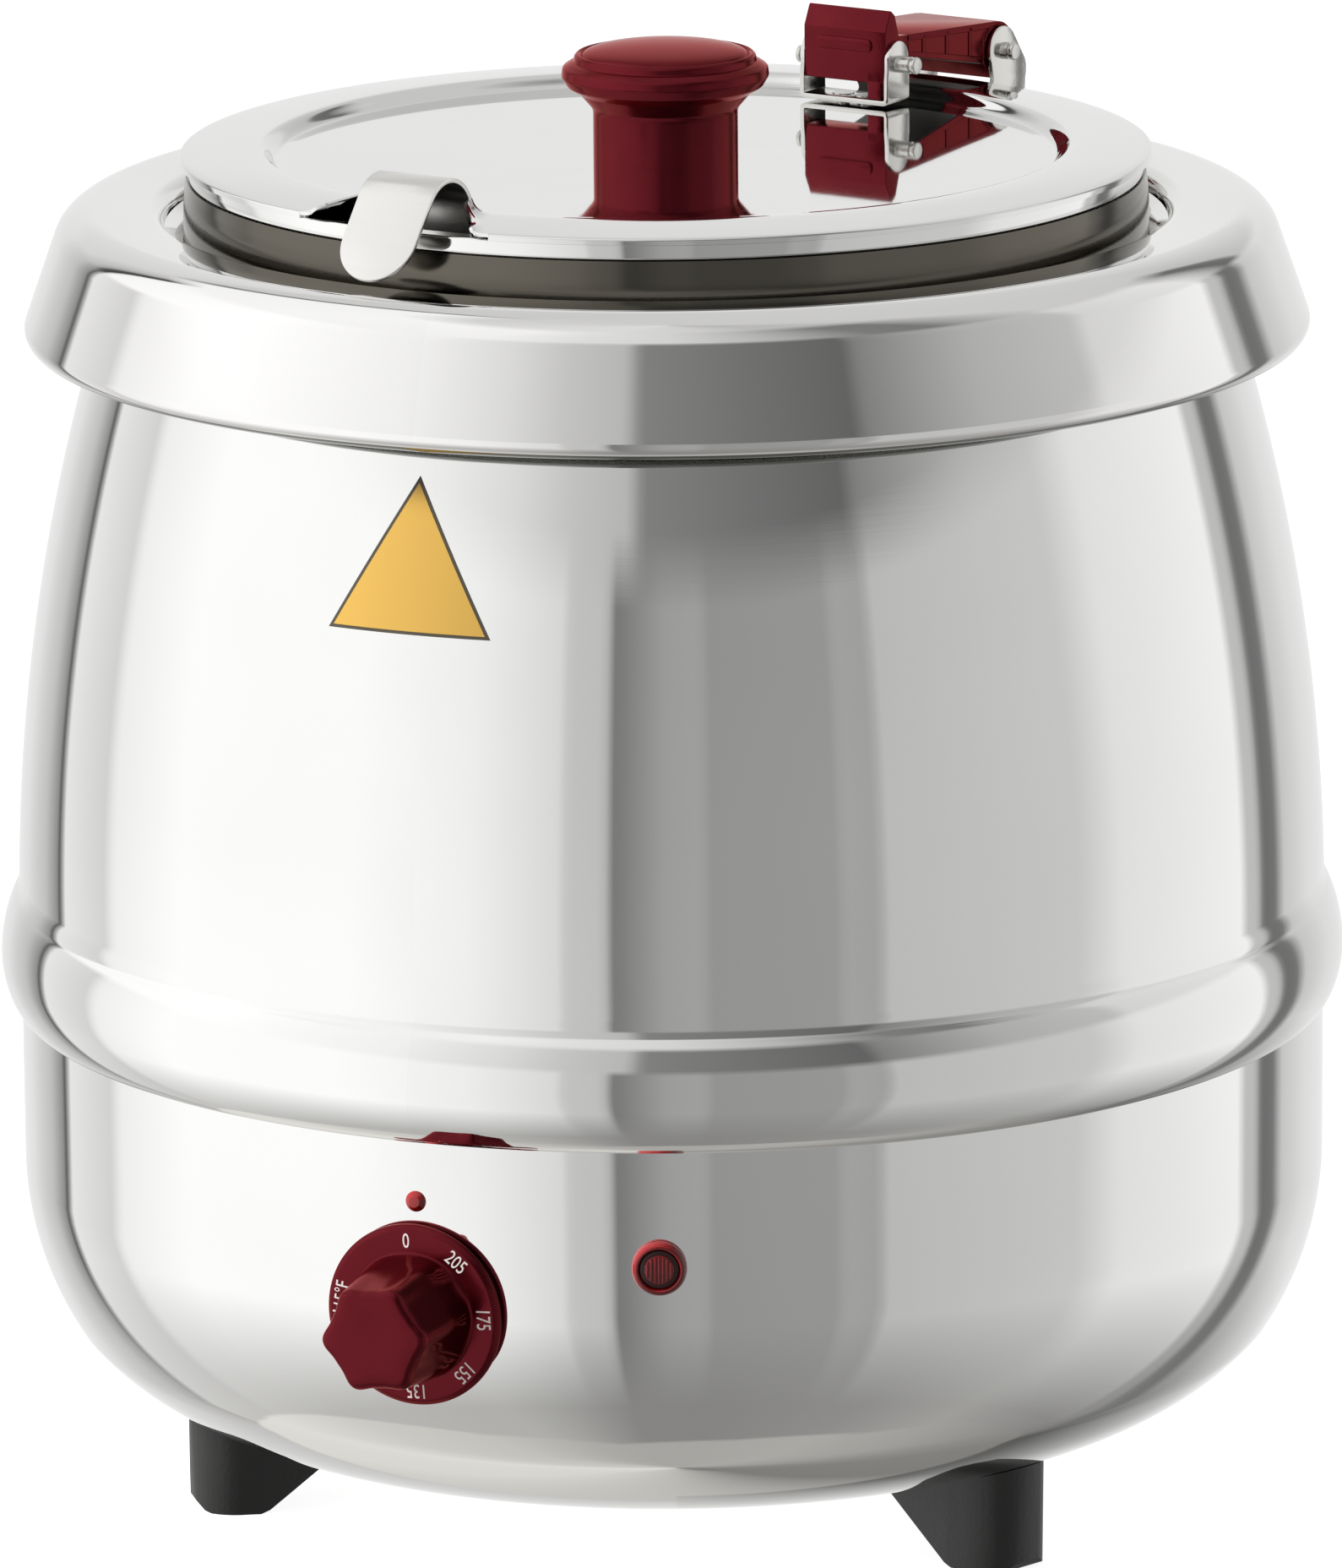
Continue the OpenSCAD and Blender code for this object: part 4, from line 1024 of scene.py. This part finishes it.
# %% Ladle bowl
bowl_radius = 41.0
bowl_depth = 32.0
handle_place = 104.2
bowl_path = [(0, -bowl_depth)]
for step in range(1, 15):
    angle = pi / 2 * step / 14
    bowl_path.append((bowl_radius * sin(angle), -bowl_depth * cos(angle)))
bowl_path.append((bowl_radius, 1.2))
bowl = spun(wall(in_mm(bowl_path), strip_sheet), steps=96, closed=False)
bowl_place = (0, (handle_place - bowl_radius + 0.15) * MM, (bowl_rim - 2.0) * MM)
bowl.transform(in_ladle @ Matrix.Translation(bowl_place))
piece("ladle_cup", bowl, brushed_strip, "ladle", ["ladle_bowl"], crease=50)

# %% [markdown]
# ## Controls on the front
# Pieces on the front are built lying on their backs, with up as the way out of the wall, and one
# matrix stands each of them on the shell at its own angle.

# %% Facing out of the wall
def on_wall(turn, radius, height):
    """A frame on the shell: X to the side, Y up, Z straight out of the kettle."""
    return (Matrix.Rotation(radians(turn), 4, "Z") @ Matrix.Translation((0, -radius * MM, height * MM))
        @ Matrix.Rotation(pi / 2, 4, "X"))


dial_height = 85.4
skirt_out = 165.45
on_dial = on_wall(0, skirt_out, dial_height)
print("dial axis height", dial_height)

# %% Dial skirt and grip
skirt_corners = [(0, 0), (22.2, 0, 0.3), (22.6, 0.5, 0.4), (22.6, 1.7, 0.7), (21.4, 2.75, 1.0), (16.0, 3.0),
    (0, 3.1)]
skirt = spun(in_mm(soften(skirt_corners, steps=4)), steps=128, closed=False)
# Rows of the grip: height, radius, and how deep its six lobes are
grip_rows = [(2.9, 16.4, 0.0), (3.15, 15.9, 0.0), (3.7, 15.6, 0.1), (4.7, 15.3, 0.3), (6.5, 15.0, 0.55),
    (10, 14.6, 0.8), (15, 14.1, 0.95), (20, 13.5, 1.0), (24.0, 13.1, 1.0), (25.4, 12.9, 1.0),
    (26.2, 12.5, 0.96), (26.75, 11.8, 0.88), (26.98, 10.9, 0.75), (27.05, 8.0, 0.4), (27.1, 4.0, 0.1)]


def lobed(angle, amount):
    """How far the grip stands out at an angle: six soft lobes with hollows between them."""
    wave = cos(6 * (angle - radians(6)))
    return amount * (0.95 * wave - 0.35 * (1 - wave * wave))


grip = bmesh.new()
ring = bmesh.ops.create_circle(grip, cap_ends=False, segments=144, radius=1.0)["verts"]
edges = grip.edges[:]
for number, (height, radius, amount) in enumerate(grip_rows):
    if number:
        grown = bmesh.ops.extrude_edge_only(grip, edges=edges)["geom"]
        edges = [g for g in grown if isinstance(g, bmesh.types.BMEdge)]
        ring = [g for g in grown if isinstance(g, bmesh.types.BMVert)]
    for vert in ring:
        angle = atan2(vert.co.y, vert.co.x)
        reach = (radius + lobed(angle, amount)) * MM
        vert.co = Vector((cos(angle) * reach, sin(angle) * reach, height * MM))
bmesh.ops.holes_fill(grip, edges=edges, sides=0)
bmesh.ops.recalc_face_normals(grip, faces=grip.faces)
join(skirt, grip)
skirt.transform(on_dial)
piece("dial_moulding", skirt, burgundy, "control", ["dial"], crease=60)

# %% Numbers on the dial
capital = 0.72      # height of a capital in a font of size 1


def letters(words, height):
    """Narrow generic lettering as a thin flat mesh, its middle at the origin."""
    curve = bpy.data.curves.new("letters", "FONT")
    curve.body = words
    curve.size = height / capital
    curve.align_x = "CENTER"
    curve.align_y = "CENTER"
    curve.extrude = 0.06
    curve.resolution_u = 4
    holder = add_object("letters", curve)
    bpy.context.view_layer.update()
    mesh = bpy.data.meshes.new_from_object(holder.evaluated_get(bpy.context.evaluated_depsgraph_get()))
    bm = bmesh.new()
    bm.from_mesh(mesh)
    bpy.data.objects.remove(holder)
    bpy.data.curves.remove(curve)
    bpy.data.meshes.remove(mesh)
    bm.transform(Matrix.Diagonal((0.74, 1, 1, 1)))
    return bm


numbers = bmesh.new()
number_height = 3.7
number_place = (0, 18.7, 2.93)      # on the skirt, before it is turned to its angle
skirt_slope = atan2(3.0 - 2.75, 21.4 - 16.0)
for words, clockwise in (("0", -4), ("205", 39), ("175", 87), ("155", 133), ("135", 177), ("115°F", 278)):
    word = letters(words, number_height)
    word.transform(Matrix.Scale(MM, 4) @ Matrix.Rotation(radians(-clockwise), 4, "Z")
        @ Matrix.Translation(number_place) @ Matrix.Rotation(-skirt_slope, 4, "X"))
    join(numbers, word)
numbers.transform(on_dial)
piece("dial_numbers", numbers, number_ink_and_painted_glow, "control", crease=30)

# %% Index dot and pilot lamp
dot_corners = [(0, 0), (2.6, 0, 0), (2.55, 0.4, 0.4), (1.4, 1.1, 0.8), (0, 1.2)]
turned(dot_corners, on_wall(0, 165.02, dial_height + 28.0), "kettle", "index_bead", red_glow,
    ["index_dot"])
lamp_place = on_wall(21, 165.0, dial_height + 14.3)
ring_corners = [(0, 0.2), (6.7, 0.2, 0.2), (6.7, 1.4, 0.6), (6.2, 2.6, 0.8), (5.3, 2.9, 0.4),
    (4.95, 2.2, 0.2), (4.85, 1.6, 0.1), (0, 1.6)]
turned(ring_corners, lamp_place, "kettle", "lamp_ring", red_glow, ["lamp_body"], steps=64)
turned([(3.3, 1.7), (4.8, 1.7, 0.1), (4.7, 2.1, 0.2), (3.3, 2.2, 0.1)], lamp_place, "kettle", "lamp_groove",
    red_groove, steps=48)
lens_radius = 3.7
turned([(0, 1.6), (lens_radius, 1.6, 0.1), (lens_radius, 2.5, 0.3), (0, 2.6)], lamp_place, "kettle",
    "lamp_disc", red_glow, ["lamp_lens"], steps=48)
rib_pitch = 0.95
ribs = bmesh.new()
for number in range(-3, 4):
    side = number * rib_pitch
    half_rib = sqrt(lens_radius ** 2 - side ** 2) - 0.35
    rib = prism(in_mm(oblong(side - 0.3, -half_rib, side + 0.3, half_rib)), 2.4 * MM, 2.95 * MM)
    join(ribs, round_edges(rib, 0.12, segments=2))
ribs.transform(lamp_place)
piece("lamp_ribs", ribs, red_glow, "kettle", crease=40)

# %% [markdown]
# ## Feet
# A foot is one moulding: an upright outer side, a small pad and a slanted web that runs in under the
# body. Its top follows the curve of the shell with a hair of clearance.

# %% Feet
pad_inner = 109
pad_outer = 126
foot_outer = pad_outer + 1
foot_round = 12.5
web_inner = pad_inner - 24
web_top = 23.4


def shell_under(radius):
    return (keel_centre[1] - sqrt(keel_radius ** 2 - (radius * MM - keel_centre[0]) ** 2)) / MM


foot_outline = [(foot_outer - 0.6, 2.4), (pad_outer - 1.2, 0.5), (pad_outer - 2.6, 0), (pad_inner + 2.4, 0),
    (pad_inner, 1.0), (web_inner, 19.5), (web_inner, web_top), (105, web_top)]
foot_outline += [(radius, shell_under(radius) - 0.3) for radius in (109, 113, 117, 121, 124, foot_outer)]


def foot_plan():
    """The foot seen from above: straight sides and a round outer end, a little wider at the top."""
    end = foot_outer - foot_round
    outline = arc((0, end), foot_round, 0, 180, 24) + [(-13, end - 4), (-13, 70), (13, 70), (13, end - 4)]
    bm = prism(in_mm(outline), -1 * MM, 30 * MM)
    for vert in bm.verts:
        draft = 0.94 + 0.06 * (vert.co.z / (30 * MM))
        vert.co.x *= draft
    return bm


for name, turn in (("foot_right", 66), ("foot_rear", 186), ("foot_left", 306)):
    foot = combined(cut_out(foot_outline, 26), foot_plan(), "INTERSECT")
    round_edges(foot, 1.2, steepness=50, segments=3)
    foot.transform(Matrix.Rotation(radians(turn + 180), 4, "Z"))
    piece(name + "_moulding", foot, dark_rubber, "kettle", [name], crease=30)

# %% [markdown]
# ## The label
# The blank label is a thin triangle laid on the bowed shell. A flat triangle is cut into small faces,
# and each point is then wrapped onto the shell at its own height.

# %% Label
label_turn = -1.75
label_low = 251.5
label_side = 43.0
label_high = label_low + label_side * sqrt(3) / 2


def label(inset, lift, name, material):
    """A triangle, inset from the edges of the label and lifted off the shell."""
    half = label_side / 2 - inset * sqrt(3)
    corners = [(-half, label_low + inset), (half, label_low + inset), (0, label_high - 2 * inset)]
    bm = flat_face([(x, 0, z) for x, z in in_mm(corners)])
    for step in range(-22, 23):
        cut_across(bm, (step * MM, 0, 0), (1, 0, 0))
    for step in range(13):
        cut_across(bm, (0, 0, (label_low + 3 * step) * MM), (0, 0, 1))
    for vert in bm.verts:
        radius = lean_in(vert.co.z) + lift * MM
        turn = vert.co.x / radius + radians(label_turn)
        vert.co = Vector((sin(turn) * radius, -cos(turn) * radius, vert.co.z))
    thicken(bm, -0.12 * MM, lambda faces: faces[0].normal.dot(faces[0].calc_center_median()) < 0)
    piece(name, bm, material, "kettle", crease=40)


label(0, 0.06, "label_border", label_edge)
label(0.8, 0.12, "label_blank", label_yellow)

# %% [markdown]
# ## Parts that keep their CAD shape
# Screws, nuts, the heater and the parts inside the body already have the right shape, so they only
# get a finish.

# %% Finishes on CAD parts
cad_finishes = {
    satin_steel: ["water_well", "base_plate"],
    plated_steel: ["foot_screws", "element_clamp", "clamp_nuts", "thermostat_nut", "lamp_nut", "rear_rivets",
        "lid_rivets", "knob_screw"],
    element_black: ["heating_element"],
    grey_case: ["thermostat"],
    copper: ["sensor_bulb"],
    ivory_block: ["terminal_block"],
    dark_rubber: ["cord_gland", "gland_nut"],
}
for material, names in cad_finishes.items():
    for name in names:
        for material_slot in frame["nodes"][name].material_slots:
            material_slot.material = material
print("CAD parts with a finish:", sum(len(names) for names in cad_finishes.values()))
